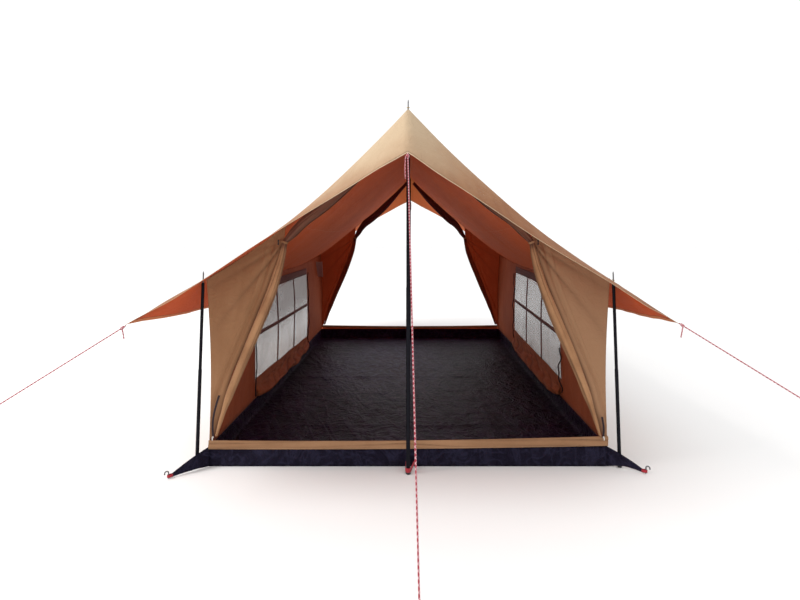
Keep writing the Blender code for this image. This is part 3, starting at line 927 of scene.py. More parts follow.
def end_wall_point(side, end, a, b):
    """a runs from the corner to the door, b from the sill to the roof."""
    tie_share = 0.90
    outer_z = SILL_TOP - 0.01 + (1.172 - SILL_TOP) * b
    outer = (wall_x(outer_z) + 0.0025, outer_z)
    if b <= tie_share:
        inner = along_line(DOOR_EDGE[::-1], b / tie_share)
        tuck = EDGE_TUCK[end] * math.sin(math.pi * b / tie_share)
        inner = (inner[0] - tuck, inner[1])
    else:
        rise = (b - tie_share) / (1 - tie_share)
        top = roof_height(TIE[0] - 0.01, end * 2.0) - 0.010
        inner = (TIE[0] - 0.01 * rise, TIE[1] + (top - TIE[1]) * rise)
    x = outer[0] + (inner[0] - outer[0]) * a
    z = outer[1] + (inner[1] - outer[1]) * a
    if b > 0.8:
        follow = roof_height(x, end * 2.0) - 0.008
        z += (follow - z) * ((b - 0.8) / 0.2) ** 2
    held = max(0.0, min(1.0, 8 * a, 6 * b, 12 * (1 - b)))
    near, crease = tie_pleat(x, z)
    pleat = 0.020 * near * (1 - crease)
    away = (1 - a) * (outer[0] - inner[0])
    valley = -0.010 * math.exp(-((away - 0.075) / 0.016) ** 2) * min(1, 5 * b)
    seam = 0.003 * math.exp(-((away - 0.115) / 0.006) ** 2) * min(1, 5 * b)
    belly = 0.010 * math.sin(math.pi * a) * math.sin(math.pi * min(1, b * 1.1))
    rough = 0.007 * noise.noise(Vector((x * 4.0, z * 2.2, 7.0 + side + end)))
    rough += 0.003 * noise.noise(Vector((x * 14.0 + z * 4.0, z * 6.0, 17.0 + side)))
    out = (pleat + rough + valley + seam) * held + belly * 0.6
    return Vector((side * x, end * (FLOOR_Y + 0.001 + out), z))




def end_painted_light(cloth, across, along):
    """Painted light: the walls are painted paler towards the right-hand side."""
    return [(cloth.between(cloth.parts(cloth.place)[0], -0.6, 1.2) * 0.7, WALL_PAINTED_LIGHT)]


end_outer = canvas("canvas_end_outer", WALL_TAN, WALL_PALE, marks=end_painted_light)
# The end walls' inner face is painted light: red-orange with a glow, for daylight through the canvas.
end_inner = canvas("canvas_end_inner", (0.42, 0.085, 0.03), (0.52, 0.12, 0.042), glow=(0.030, 0.0030, 0.0008))
for end, end_name in END_NAMES.items():
    for side, side_name in SIDE_NAMES.items():
        corner = f"{end_name}_{side_name}"
        panel_shape = bmesh.new()
        add_cloth(
            panel_shape, 84, 100, lambda a, b, side=side, end=end: end_wall_point(side, end, a, b),
            lambda a, b: (a * 0.4, b * 1.3),
            folds=lambda a, b, side=side, end=end: end_wall_fold(side, end, a, b),
        )
        panel = finished(
            f"end_wall_canvas_{corner}", panel_shape, [end_outer, end_inner],
            f"end_wall_{corner}", (0, end, 0),
        )
        thickened(panel)


# Door leaves: each half of the door is rolled from its free edge, tied back at the roof and left
# hanging as a bundle, slack and pleated below the tie and drawn flat up under the roof.
LEAF_TURNS = 5.0
LEAF_STEPS = (170, 130)
LEAF_TIE = 0.6
LEAF_THICKNESS = {
    -1: [
        (0.0, 0.008), (0.06, 0.014), (0.14, 0.026), (0.28, 0.032), (0.40, 0.033), (0.50, 0.029),
        (0.56, 0.021), (0.60, 0.016), (0.64, 0.028), (0.74, 0.038), (0.88, 0.034), (1.0, 0.022),
    ],
    1: [
        (0.0, 0.008), (0.06, 0.014), (0.14, 0.026), (0.28, 0.032), (0.40, 0.033), (0.50, 0.029),
        (0.56, 0.022), (0.60, 0.020), (0.64, 0.036), (0.72, 0.050), (0.82, 0.046), (1.0, 0.022),
    ],
}
LEAF_LINE = [
    (1.192, 0.190), (1.160, 0.30), (1.120, 0.424), (1.062, 0.57), (1.000, 0.72), (0.942, 0.86),
    (0.882, 1.00), (0.832, 1.13), (0.789, 1.27), (0.767, 1.392),
]
LEAF_PLEATS = 6
LEAF_DROOP = {-1: 0.018, 1: 0.0}


def smoothed(points, rounds=2):
    """Cuts the corners of a line, so that it bends instead of breaking."""
    for _ in range(rounds):
        made = [points[0]]
        for start, stop in zip(points, points[1:]):
            made.append(tuple(s * 0.75 + e * 0.25 for s, e in zip(start, stop)))
            made.append(tuple(s * 0.25 + e * 0.75 for s, e in zip(start, stop)))
        points = made + [points[-1]]
    return points


def upper_line(end):
    """The bundle's middle line from its tie up to the peak, close under the roof."""
    line = [LEAF_LINE[-1]]
    for x in (0.65, 0.55, 0.40, 0.25, 0.12, 0.045):
        share = LEAF_TIE + (1 - LEAF_TIE) * (TIE[0] - x) / TIE[0]
        hang = (read_off(LEAF_THICKNESS[end], share) * 1.12 + 0.005) / 0.77 + LEAF_DROOP[end] * min(1, x / 0.4)
        line.append((x, roof_height(x, end * 2.0) - hang))
    return smoothed(line)


LOWER_LINE = smoothed(LEAF_LINE)
UPPER_LINES = {end: upper_line(end) for end in (-1, 1)}


def leaf_middle(end, b):
    if b <= LEAF_TIE:
        return along_line(LOWER_LINE, max(0.0, b) / LEAF_TIE)
    return along_line(UPPER_LINES[end], min(1.0, (b - LEAF_TIE) / (1 - LEAF_TIE)))


def leaf_share(a):
    """Gives half of the leaf's columns to its outermost turn, which is the one that shows."""
    return a * 0.4 if a < 0.5 else 0.2 + (a - 0.5) * 1.6


def leaf_crease(side, a, b):
    """Depth in the creases that run along the bundle, 0 to 1."""
    turn = 2 * math.pi * LEAF_TURNS * leaf_share(a) + 2.4 + 1.1 * b
    around = Vector((math.cos(turn), math.sin(turn), b * 3.0 + side))
    wander = 0.6 * math.sin(5 * b + side) + 1.9 * noise.noise(around)
    depth = 0.42 + 0.9 * noise.noise(around * 1.7 + Vector((4.0, 0.0, 0.0)))
    depth += 0.7 * math.exp(-abs(b - LEAF_TIE) / 0.13)
    crease = (1 - abs(math.sin(LEAF_PLEATS * (turn - 0.9 * b) / 2 + wander))) ** 2.6
    return crease * max(0.0, min(1.0, depth))


def leaf_shade(side, a, b):
    """Painted shade: the creases, and the side that is turned away from the light of the door."""
    turn = 2 * math.pi * LEAF_TURNS * leaf_share(a) + 2.4 + 1.1 * b
    away = max(0.0, -math.cos(turn) - 0.25) / 0.75
    return min(1.0, leaf_crease(side, a, b) ** 1.5 + 0.42 * away)


def leaf_point(side, end, a, b):
    middle = leaf_middle(end, b)
    ahead = leaf_middle(end, b + 0.012)
    behind = leaf_middle(end, b - 0.012)
    run = Vector((ahead[0] - behind[0], 0, ahead[1] - behind[1])).normalized()
    beside = Vector((run.z, 0, -run.x))
    tie = math.exp(-abs(b - LEAF_TIE) / 0.10)
    turn = 2 * math.pi * LEAF_TURNS * leaf_share(a) + 2.4 + 1.1 * b
    reach = read_off(LEAF_THICKNESS[end], b) * (0.32 + 0.68 * (1 - leaf_share(a)) ** 0.8)
    uneven = noise.noise(Vector((math.cos(turn) * 1.3, math.sin(turn) * 1.3, b * 7.0 + side + end)))
    reach *= 1 - (0.24 + 0.24 * tie) * leaf_crease(side, a, b) + 0.18 * uneven
    point = Vector((middle[0], 0, middle[1]))
    point += beside * math.cos(turn) * reach + Vector((0, math.sin(turn) * reach * 0.85, 0))
    return Vector((side * point.x, end * (FLOOR_Y + 0.004 + point.y), point.z))


def leaf_cloth(name, low_shades, high_shades, line):
    """Canvas of a door leaf, painted darker above its tie in bands of two colours: painted shade where the bundle
    lies under the roof.
    """
    cloth = Finish(name, roughness=0.84, Specular_IOR_Level=0.2, Sheen_Weight=0.05)
    around, along, _ = cloth.parts(cloth.cloth)
    slub = cloth.cloud(1.0, detail=2.0, vector=cloth.stretched(cloth.cloth, (500.0, 60.0, 1.0)))
    tone = cloth.between(cloth.cloud(5.0, detail=4.0) * 0.7 + slub * 0.3, 0.35, 0.65)
    # Painted shade: above the tie the bundle lies under the roof, so it takes the darker colours, in bands round it;
    # over holds these painted-shade colours.
    above = cloth.between(along + cloth.cloud(8.0) * 0.06, line - 0.02, line + 0.06)
    shade_bands = cloth.between((around * 8.0 + 0.30).sine(), -0.15, 0.15)
    over = cloth.dyed(shade_bands, high_shades[0], high_shades[1])
    colour = cloth.dyed(above, cloth.dyed(tone, *low_shades), cloth.dyed(tone * 0.15, over, low_shades[0]))
    # Painted shade in the creases and on the side turned from the door's light, as the leaf stores it.
    colour = cloth.dyed(cloth.fold() * 0.85, colour, SHADE_BROWN)
    under = cloth.raised(cloth.cloud(14.0, detail=5.0, distortion=0.4), 0.006, 0.6)
    return cloth.wear(
        colour=colour,
        roughness=0.78 + cloth.cloud(30.0) * 0.16,
        normal=cloth.raised(slub, 0.0005, 0.6, under),
    )


leaf_outer = leaf_cloth(
    "canvas_leaf_outer", ((0.30, 0.150, 0.072), (0.42, 0.225, 0.112)),
    ((0.090, 0.036, 0.034), (0.150, 0.062, 0.040)), 1.385,
)
leaf_inner = leaf_cloth(
    "canvas_leaf_inner", ((0.20, 0.036, 0.014), (0.28, 0.052, 0.02)),
    ((0.12, 0.022, 0.020), (0.085, 0.016, 0.016)), 1.36,
)
for end, end_name in END_NAMES.items():
    for side, side_name in SIDE_NAMES.items():
        corner = f"{end_name}_{side_name}"
        leaf_shape = bmesh.new()
        add_cloth(
            leaf_shape, *LEAF_STEPS, lambda a, b, side=side, end=end: leaf_point(side, end, a, b),
            lambda a, b: (leaf_share(a) * 1.2, b * 2.35),
            folds=lambda a, b, side=side: leaf_shade(side, a, b),
        )
        leaf = finished(
            f"door_leaf_{corner}", leaf_shape, [leaf_outer if end < 0 else leaf_inner],
            f"door_roll_{corner}",
        )
        thickened(leaf, 0.001, 0.0, lining=0)


# Tie-backs and door zips: a strap sewn beside the door goes round the bundle and is buttoned with
# a black toggle. The door's zip stays with the wall and shows at the foot, closed by a slider.
black = Finish("black_toggle", roughness=0.5, Specular_IOR_Level=0.4)
toggle_plastic = black.wear(
    colour=black.dyed(black.cloud(60.0), (0.010, 0.008, 0.010), (0.020, 0.016, 0.018)),
    roughness=0.42 + black.cloud(140.0) * 0.2,
    normal=black.raised(black.cloud(500.0), 0.0002, 0.3),
)
nickel = Finish("nickel_slider", roughness=0.3, metallic=1.0)
slider_metal = nickel.wear(
    colour=nickel.dyed(nickel.cloud(90.0), (0.55, 0.52, 0.50), (0.75, 0.73, 0.70)),
    roughness=0.26 + nickel.cloud(200.0) * 0.25,
    normal=nickel.raised(nickel.cloud(400.0), 0.0001, 0.3),
)
TOGGLE_OUTLINE = [
    (0.0, -0.017), (0.0028, -0.0165), (0.0044, -0.014), (0.0046, -0.005), (0.0028, -0.002),
    (0.0028, 0.002), (0.0046, 0.005), (0.0044, 0.014), (0.0028, 0.0165), (0.0, 0.017),
]
ZIP_LINES = {
    -1: [(-0.034, 0.445), (-0.020, 0.40), (-0.006, 0.34), (0.002, 0.29), (0.004, 0.24), (-0.002, 0.185)],
    1: [(-0.008, 0.315), (-0.002, 0.28), (0.003, 0.24), (-0.002, 0.185)],
}


def turned(shape, outline, sides, merge=0.00001):
    """Spins an outline of (radius, height) points about the upright axis and closes its poles."""
    line = [shape.verts.new((reach, 0, height)) for reach, height in outline]
    edges = [shape.edges.new(pair) for pair in zip(line, line[1:])]
    bmesh.ops.spin(
        shape, geom=line + edges, cent=(0, 0, 0), axis=(0, 0, 1), angle=2 * math.pi,
        steps=sides, use_merge=True,
    )
    bmesh.ops.remove_doubles(shape, verts=shape.verts, dist=merge)


for end, end_name in END_NAMES.items():
    for side, side_name in SIDE_NAMES.items():
        corner = f"{end_name}_{side_name}"
        toggle_shape = bmesh.new()
        turned(toggle_shape, TOGGLE_OUTLINE, 16)
        for face in toggle_shape.faces:
            face.smooth = True
        bmesh.ops.translate(
            toggle_shape, verts=toggle_shape.verts, vec=(side * 0.797, end * (FLOOR_Y + 0.040), 1.392)
        )
        finished(
            f"tie_toggle_{corner}", toggle_shape, [toggle_plastic], None, recalculate=True
        )
        strap_shape = bmesh.new()
        ring = []
        for i in range(29):
            turn = 2 * math.pi * i / 28
            across = 0.004 + 0.026 * math.cos(turn)
            ring.append((
                side * (0.766 + across * 0.86), end * (FLOOR_Y + 0.006 + 0.024 * math.sin(turn)),
                1.393 + across * 0.38,
            ))
        add_tape(strap_shape, ring, (-side * 0.4, 0, 0.9), 0.013)
        strap = finished(f"tie_strap_{corner}", strap_shape, [end_outer], None)
        thickened(strap, 0.0016, 0.0, lining=0)

        zip_shape = bmesh.new()
        line = [
            (side * (1.203 + x), end * (FLOOR_Y + 0.026 - 0.010 * abs(x) / 0.036), z)
            for x, z in smoothed(ZIP_LINES[side])
        ]
        add_tape(zip_shape, line, (1, 0, 0.15 * side), 0.0125)
        door_zip = finished(f"door_zip_{corner}", zip_shape, [zip_tape], None, (0, end, 0))
        thickened(door_zip, 0.0014, 0.0, lining=0)

        slider_shape = bmesh.new()
        for size, at in (
            ((0.011, 0.005, 0.014), (0.0, 0.0, 0.0)), ((0.005, 0.004, 0.006), (0.0, 0.004, 0.006)),
            ((0.008, 0.0016, 0.026), (0.003, 0.0065, -0.009)),
        ):
            block = bmesh.ops.create_cube(slider_shape, size=1.0)["verts"]
            bmesh.ops.scale(slider_shape, verts=block, vec=size)
            bmesh.ops.translate(slider_shape, verts=block, vec=at)
        bmesh.ops.bevel(
            slider_shape, geom=slider_shape.edges[:], offset=0.0007, offset_type="OFFSET", segments=2,
            profile=0.5, affect="EDGES", material=-1,
        )
        bmesh.ops.scale(slider_shape, verts=slider_shape.verts, vec=(side * 0.8, end * 0.8, 0.8))
        bmesh.ops.translate(
            slider_shape, verts=slider_shape.verts, vec=(side * 1.202, end * (FLOOR_Y + 0.030), 0.192)
        )
        finished(
            f"door_slider_{corner}", slider_shape, [slider_metal], None, recalculate=True
        )


# Door sills: a band of canvas sewn on top of the tub from corner to corner. People step over it,
# so it sags in the middle and creases along its length.
def sill_point(end, a, b):
    """a runs from corner to corner, b from the stitched lower edge over the top and inside."""
    x = (FLOOR_X + 0.003) * (2 * a - 1)
    middle = math.cos(math.pi / 2 * x / FLOOR_X)
    tilt = 0.013 * x / FLOOR_X if end < 0 else 0.0
    top = SILL_TOP + 0.006 - 0.014 * middle + tilt
    low = SKIRT_TOP - 0.006 - 0.008 * middle + 0.8 * tilt
    wave = 0.005 * noise.noise(Vector((x * 3.0, b * 2.0, 11.0 + end))) + 0.003
    wave += 0.003 * math.sin(x * 9.0 + math.copysign(1, x) * b * 5.0) - 0.006 * sill_crease(end, a, b)
    if b <= 0.7:
        rise = b / 0.7
        out = 0.0085 + wave * math.sin(math.pi * min(1, rise * 0.9)) + 0.003 * math.sin(math.pi * rise)
        return Vector((x, end * (FLOOR_Y + out), low + (top - low) * rise))
    over = (b - 0.7) / 0.3
    out = 0.0085 * (1 - over) - 0.006 * over
    return Vector((x, end * (FLOOR_Y + out), top + 0.002 * math.sin(math.pi * min(1, 2 * over)) - 0.022 * over ** 2))


def sill_crease(end, a, b):
    """Long slanting creases along the band, deepest near its two ends."""
    x = FLOOR_X * (2 * a - 1)
    slant = b * 6.5 + abs(x) * 2.6 + 1.8 * noise.noise(Vector((x * 1.3, b, 31.0 + end)))
    patch = 0.55 + noise.noise(Vector((x * 2.7, b * 1.5, 21.0 + end))) + 0.5 * (x / FLOOR_X) ** 4
    return max(0.0, min(1.0, patch)) * (1 - abs(math.sin(slant))) ** 3


def sill_seam(across, along):
    return [(abs(across - 0.005), along, 0.005, 0.0, None)]


sill_cloth = canvas("canvas_sill", (0.26, 0.135, 0.068), (0.38, 0.21, 0.112), sewn=sill_seam)
for end, end_name in END_NAMES.items():
    sill_shape = bmesh.new()
    # folds stores painted shade in the band's creases.
    add_cloth(
        sill_shape, 170, 18, lambda a, b, end=end: sill_point(end, a, b),
        lambda a, b: (b * 0.075, a * 2.5), folds=lambda a, b, end=end: 0.6 * sill_crease(end, a, b),
    )
    sill = finished(
        f"sill_band_{end_name}", sill_shape, [sill_cloth, end_inner], f"door_sill_{end_name}",
        (0, end, 0),
    )
    thickened(sill, 0.0016)


# The groundsheet is a tub of black coated woven sheet, heat-creased from its packing. Its edge is
# turned up all round, and each corner is drawn out into a tail with a red loop for a peg.
TUB_X = FLOOR_X + 0.002
TUB_Y = FLOOR_Y + 0.001
TUB_STEPS = (118, 176)
TAIL_TIP = {(-1, -1): (1.402, 2.145), (1, -1): (1.418, 2.085), (-1, 1): (1.405, 2.13), (1, 1): (1.405, 2.13)}


def creases(x, y):
    """Height of the packing folds and crinkles in the floor."""
    height = 0.0
    for scale, depth, seed in ((2.3, 0.010, 1.0), (6.0, 0.006, 4.0), (14.0, 0.003, 8.0)):
        height += depth * (1 - abs(noise.noise(Vector((x * scale, y * scale * 0.8, seed)))) * 3) * 0.5
    for fold in (-1.33, 0.0, 1.33):
        height += 0.004 * math.exp(-((y - fold) / 0.02) ** 2)
    for fold in (-0.62, 0.62):
        height += 0.004 * math.exp(-((x - fold) / 0.02) ** 2)
    return max(0.0, height)


def tub_point(a, b):
    across = (TUB_X + SKIRT_TOP) * (2 * a - 1)
    along = (TUB_Y + SKIRT_TOP) * (2 * b - 1)
    up = max(0.0, abs(across) - TUB_X, abs(along) - TUB_Y)
    x = max(-TUB_X, min(TUB_X, across))
    y = max(-TUB_Y, min(TUB_Y, along))
    if up > 0:
        lean = 0.006 * noise.noise(Vector((x * 3.0, y * 3.0, up * 9.0)))
        lean += 0.006 * math.sin(x * 7.0 + y * 5.0) * math.sin(math.pi * up / SKIRT_TOP)
        lean *= min(1.0, 8 * (1 - min(abs(x) / TUB_X, abs(y) / TUB_Y)) + 0.1)
        if abs(across) > TUB_X:
            x += math.copysign(lean, x)
        else:
            y += math.copysign(lean, y)
        return Vector((x, y, up))
    edge = min(TUB_X - abs(x), TUB_Y - abs(y))
    return Vector((x, y, 0.0015 + creases(x, y) * min(1.0, edge / 0.12)))


def tub_corner(a, b):
    across = abs((TUB_X + SKIRT_TOP) * (2 * a - 1))
    along = abs((TUB_Y + SKIRT_TOP) * (2 * b - 1))
    return across > TUB_X and along > TUB_Y


def coated_sheet(name, dark, light, painted_sheen, rough, shine, painted_crease_highlight):
    """Black coated sheet: crinkles, heat creases that run on the slant, painted highlights on the crease lines, a
    painted blue-grey sheen for the reflection of the doorway, and woven tapes.
    """
    sheet = Finish(
        name, roughness=rough, Specular_IOR_Level=shine, Specular_Tint=(0.72, 0.60, 1.0, 1.0)
    )
    x, y, z = sheet.parts(sheet.place)
    crinkle = sheet.cloud(6.0, detail=6.0, roughness=0.6, distortion=0.9)
    wide = 1.0 - abs(sheet.cloud(5.0, detail=3.0, roughness=0.5, distortion=1.6) - 0.5) * 2.0
    fine = 1.0 - abs(sheet.cloud(21.0, detail=4.0, roughness=0.6, distortion=1.2) - 0.5) * 2.0
    slant = sheet.node("ShaderNodeCombineXYZ", _0=(x + y * 0.35) * 5.0, _1=(y - x * 0.35) * 0.9, _2=z * 2.0)
    heat = 1.0 - abs(sheet.cloud(1.0, detail=4.0, distortion=0.6, vector=slant.outputs[0]) - 0.5) * 2.0
    lines = (wide ** 14.0).largest(heat ** 16.0 * 0.8).largest(fine ** 14.0 * 0.5)
    u, v, _ = sheet.parts(sheet.cloth)
    tape = (u / 0.0024).fraction() * 0.5 + (v / 0.0024).fraction() * 0.5
    tone = sheet.between(crinkle * 0.55 + lines * 0.45, 0.28, 0.75)
    # Painted reflection: a blue-grey patch of sheen, placed left of the middle and towards the rear.
    spread = ((x + 0.22) / 0.75) ** 2.0 + ((y - 0.45) / 1.35) ** 2.0
    middle = 1.0 - sheet.between(spread + crinkle * 0.6 - 0.3, 0.0, 1.15)
    base = sheet.raised(crinkle * 0.35 + wide ** 5.0 * 0.35 + heat ** 6.0 * 0.3 + fine ** 5.0 * 0.2, 0.024, 0.9)
    colour = sheet.dyed(middle * (0.35 + tone * 0.65), sheet.dyed(tone, dark, light), painted_sheen)
    # Painted highlight: the crease lines are painted paler.
    return sheet.wear(
        colour=sheet.dyed(lines * painted_crease_highlight, colour, tuple(2.2 * c for c in light)),
        roughness=rough - 0.08 + sheet.cloud(22.0) * 0.18,
        normal=sheet.raised(tape, 0.0003, 0.35, base),
    )


ground_cloth = coated_sheet(
    "coated_ground_cloth", (0.009, 0.0022, 0.010), (0.024, 0.0105, 0.029), (0.115, 0.130, 0.235), 0.42, 0.055,
    0.4,
)
skirt_cloth = coated_sheet(
    "coated_skirt_cloth", (0.0075, 0.0060, 0.013), (0.018, 0.0165, 0.033), (0.016, 0.015, 0.030), 0.48, 0.07,
    0.12,
)

tub_across = stops_of([-(TUB_X + SKIRT_TOP), -TUB_X, TUB_X, TUB_X + SKIRT_TOP], 0.024)
tub_along = stops_of([-(TUB_Y + SKIRT_TOP), -TUB_Y, TUB_Y, TUB_Y + SKIRT_TOP], 0.026)


def tub_share(stops, share):
    position = share * (len(stops) - 1)
    first = min(int(position + 1e-5), len(stops) - 2)
    value = stops[first] + (stops[first + 1] - stops[first]) * (position - first)
    return (value / stops[-1] + 1) / 2


tub_shape = bmesh.new()
add_cloth(
    tub_shape, len(tub_across) - 1, len(tub_along) - 1,
    lambda a, b: tub_point(tub_share(tub_across, a), tub_share(tub_along, b)),
    lambda a, b: (2.7 * tub_share(tub_across, a), 4.25 * tub_share(tub_along, b)),
    lambda a, b: tub_corner(tub_share(tub_across, a), tub_share(tub_along, b)),
)
tub = finished(
    "tub_groundsheet", tub_shape, [ground_cloth, skirt_cloth], "groundsheet", (0, 0, 1)
)
thickened(tub, 0.0012, 0.0)


def tail_point(side, end, a, b):
    """a runs from the tub's corner to the peg, b from the ground up."""
    tip = TAIL_TIP[(side, end)]
    x = TUB_X + (tip[0] - TUB_X) * a
    y = TUB_Y + (tip[1] - TUB_Y) * a
    low = 0.0015 + 0.016 * math.sin(math.pi * min(1, a)) * (1 if side * end < 0 else 0.3)
    high = SKIRT_TOP - 0.002 + (0.024 - SKIRT_TOP) * a + 0.006 * math.sin(math.pi * a)
    bow = 0.010 * math.sin(math.pi * a) * math.sin(math.pi * b)
    bow += 0.004 * noise.noise(Vector((a * 5.0, b * 3.0, side + 3 * end))) * math.sin(math.pi * a)
    direction = Vector((tip[1] - TUB_Y, TUB_X - tip[0], 0)).normalized()
    point = Vector((x, y, low + (high - low) * b)) + direction * bow
    return Vector((side * point.x, end * point.y, max(0.0015, point.z)))


for end, end_name in END_NAMES.items():
    for side, side_name in SIDE_NAMES.items():
        tail_shape = bmesh.new()
        add_cloth(
            tail_shape, 22, 12, lambda a, b, side=side, end=end: tail_point(side, end, a, b),
            lambda a, b: (a * 0.24, b * 0.125),
        )
        tail = finished(
            f"stake_tail_{end_name}_{side_name}", tail_shape, [skirt_cloth], None,
            (side, -end, 0),
        )
        thickened(tail, 0.002, 0.0, lining=0)


# Poles: black powder-coated steel tube in two lengths, with a swaged joint half way up, a plastic
# foot, and a bright steel spike that goes through a brass-ringed eyelet in the roof.
POLE_SIDES = 28
MAIN_RADIUS = 0.0125
CORNER_RADIUS = 0.011
SPIKE_RADIUS = 0.004

coat = Finish("black_pole_coat", roughness=0.42, Specular_IOR_Level=0.10)
coat_grain = coat.cloud(420.0, detail=2.0)
pole_coat = coat.wear(
    colour=coat.dyed(coat.cloud(14.0, detail=4.0), (0.0035, 0.0035, 0.006), (0.007, 0.007, 0.012)),
    roughness=0.34 + coat.cloud(35.0) * 0.2,
    normal=coat.raised(coat_grain, 0.0002, 0.4),
)
bright = Finish("bright_spike_steel", roughness=0.3, metallic=1.0)
spike_steel = bright.wear(
    colour=bright.dyed(bright.cloud(60.0), (0.10, 0.10, 0.11), (0.20, 0.20, 0.21)),
    roughness=0.24 + bright.cloud(90.0, vector=bright.stretched(bright.place, (1.0, 1.0, 0.1))) * 0.25,
    normal=bright.raised(bright.cloud(300.0), 0.0001, 0.3),
)
moulded = Finish("black_moulded_foot", roughness=0.6)
foot_plastic = moulded.wear(
    colour=moulded.dyed(moulded.cloud(40.0), (0.010, 0.010, 0.011), (0.022, 0.022, 0.024)),
    roughness=0.5 + moulded.cloud(80.0) * 0.2,
    normal=moulded.raised(moulded.cloud(500.0), 0.0002, 0.3),
)


def pole(name, node, foot, head, radius, joint):
    """Turns a pole's outline about its axis, then leans it from foot to head."""
    foot, head = Vector(foot), Vector(head)
    length = (head - foot).length
    outline = [
        (0.0, 0.0), (radius + 0.001, 0.0), (radius + 0.002, 0.003), (radius + 0.002, 0.026),
        (radius + 0.0012, 0.030), (radius, 0.030), (radius, joint - 0.03), (radius, joint),
        (radius - 0.0004, joint + 0.001), (radius - 0.0014, joint + 0.004),
        (radius - 0.0014, length - 0.010), (radius - 0.0022, length - 0.004),
        (radius - 0.0045, length), (SPIKE_RADIUS, length), (SPIKE_RADIUS, length + 0.055),
        (SPIKE_RADIUS * 0.75, length + 0.062), (SPIKE_RADIUS * 0.25, length + 0.068),
        (0.0, length + 0.069),
    ]
    shape = bmesh.new()
    turned(shape, outline, POLE_SIDES)
    for face in shape.faces:
        height = face.calc_center_median().z
        face.material_index = 2 if height < 0.0301 else 1 if height > length - 0.0005 else 0
        face.smooth = True
    lean = Vector((0, 0, 1)).rotation_difference(head - foot).to_matrix()
    bmesh.ops.rotate(shape, verts=shape.verts, cent=(0, 0, 0), matrix=lean)
    bmesh.ops.translate(shape, verts=shape.verts, vec=foot)
    lowest = min(vertex.co.z for vertex in shape.verts)
    bmesh.ops.translate(shape, verts=shape.verts, vec=(0, 0, -lowest))
    made = finished(
        name, shape, [pole_coat, spike_steel, foot_plastic], node, recalculate=True
    )
    soften = made.modifiers.new("edges", "EDGE_SPLIT")
    soften.split_angle = math.radians(38)
    return made


def eyelet(name, at, tilt):
    """A brass ring pressed into the cloth round a spike."""
    shape = bmesh.new()
    ring = bmesh.ops.create_circle(shape, segments=10, radius=0.0016)["verts"]
    bmesh.ops.rotate(
        shape, verts=ring, cent=(0, 0, 0), matrix=Vector((0, 0, 1)).rotation_difference((0, 1, 0)).to_matrix()
    )
    bmesh.ops.translate(shape, verts=ring, vec=(0.0085, 0, 0))
    bmesh.ops.spin(
        shape, geom=shape.verts[:] + shape.edges[:], cent=(0, 0, 0), axis=(0, 0, 1),
        angle=2 * math.pi, steps=24, use_merge=True,
    )
    bmesh.ops.remove_doubles(shape, verts=shape.verts, dist=0.00001)
    for face in shape.faces:
        face.smooth = True
    lean = Vector((0, 0, 1)).rotation_difference(Vector(tilt)).to_matrix()
    bmesh.ops.rotate(shape, verts=shape.verts, cent=(0, 0, 0), matrix=lean)
    bmesh.ops.translate(shape, verts=shape.verts, vec=at)
    return finished(name, shape, [eyelet_brass], None, recalculate=True)


ring_metal = Finish("eyelet_brass", roughness=0.35, metallic=1.0)
eyelet_brass = ring_metal.wear(
    colour=ring_metal.dyed(ring_metal.cloud(120.0), (0.45, 0.33, 0.16), (0.62, 0.47, 0.25)),
    roughness=0.3 + ring_metal.cloud(200.0) * 0.25,
    normal=ring_metal.raised(ring_metal.cloud(400.0), 0.0001, 0.3),
)

for end, end_name in END_NAMES.items():
    top = (0, end * MAIN_POLE_Y, RIDGE_TOP[end] - 0.016)
    pole(
        f"main_upright_{end_name}", f"main_pole_{end_name}", (0, end * MAIN_POLE_Y, 0), top,
        MAIN_RADIUS, 1.12,
    )
    eyelet(f"peak_eyelet_{end_name}", (0, end * MAIN_POLE_Y, RIDGE_TOP[end] + 0.003), (0, 0, 1))
    for side, side_name in SIDE_NAMES.items():
        corner = f"{end_name}_{side_name}"
        pole(
            f"corner_upright_{corner}", f"corner_pole_{corner}", (side * 1.31, end * 2.01, 0),
            (side * EAVE[0], end * EAVE[1], EAVE[2] - 0.012), CORNER_RADIUS, 0.6,
        )
        eyelet(
            f"corner_eyelet_{corner}", (side * EAVE[0], end * EAVE[1], EAVE[2] + 0.002),
            (side * 0.5, end * 0.2, 1),
        )


# Guy lines: braided red rope with a white fleck, knotted through the eyelets of the awnings and
# hitched round a hooked steel peg. Each is held taut, so it runs straight from knot to knot.
ROPE_RADIUS = 0.0034
GUY_PEG = {-1: (0.052, -3.8), 1: (0.0, 3.8)}
CORNER_GUY_PEG = (2.85, 3.0)
PEG_RADIUS = 0.004

braid = Finish("braided_red_rope", roughness=0.8, Sheen_Weight=0.2)
round_share, rope_metres, _ = braid.parts(braid.cloth)
spiral_left = (rope_metres * (2 * math.pi / 0.019) + round_share * (2 * math.pi)).sine()
spiral_right = (rope_metres * (2 * math.pi / 0.019) - round_share * (2 * math.pi)).sine()
fleck = braid.between(spiral_left.largest(spiral_right), 0.70, 0.86)
plait = (rope_metres * (2 * math.pi / 0.0045) + round_share * (4 * math.pi)).sine()
plait = plait * (rope_metres * (2 * math.pi / 0.0045) - round_share * (4 * math.pi)).sine()
braided_rope = braid.wear(
    colour=braid.dyed(
        fleck,
        braid.dyed(braid.between(plait, -1.0, 1.0), (0.20, 0.004, 0.016), (0.50, 0.012, 0.05)),
        (0.72, 0.44, 0.46),
    ),
    roughness=0.72 + braid.cloud(200.0) * 0.2,
    normal=braid.raised(plait, 0.0009, 0.7),
)


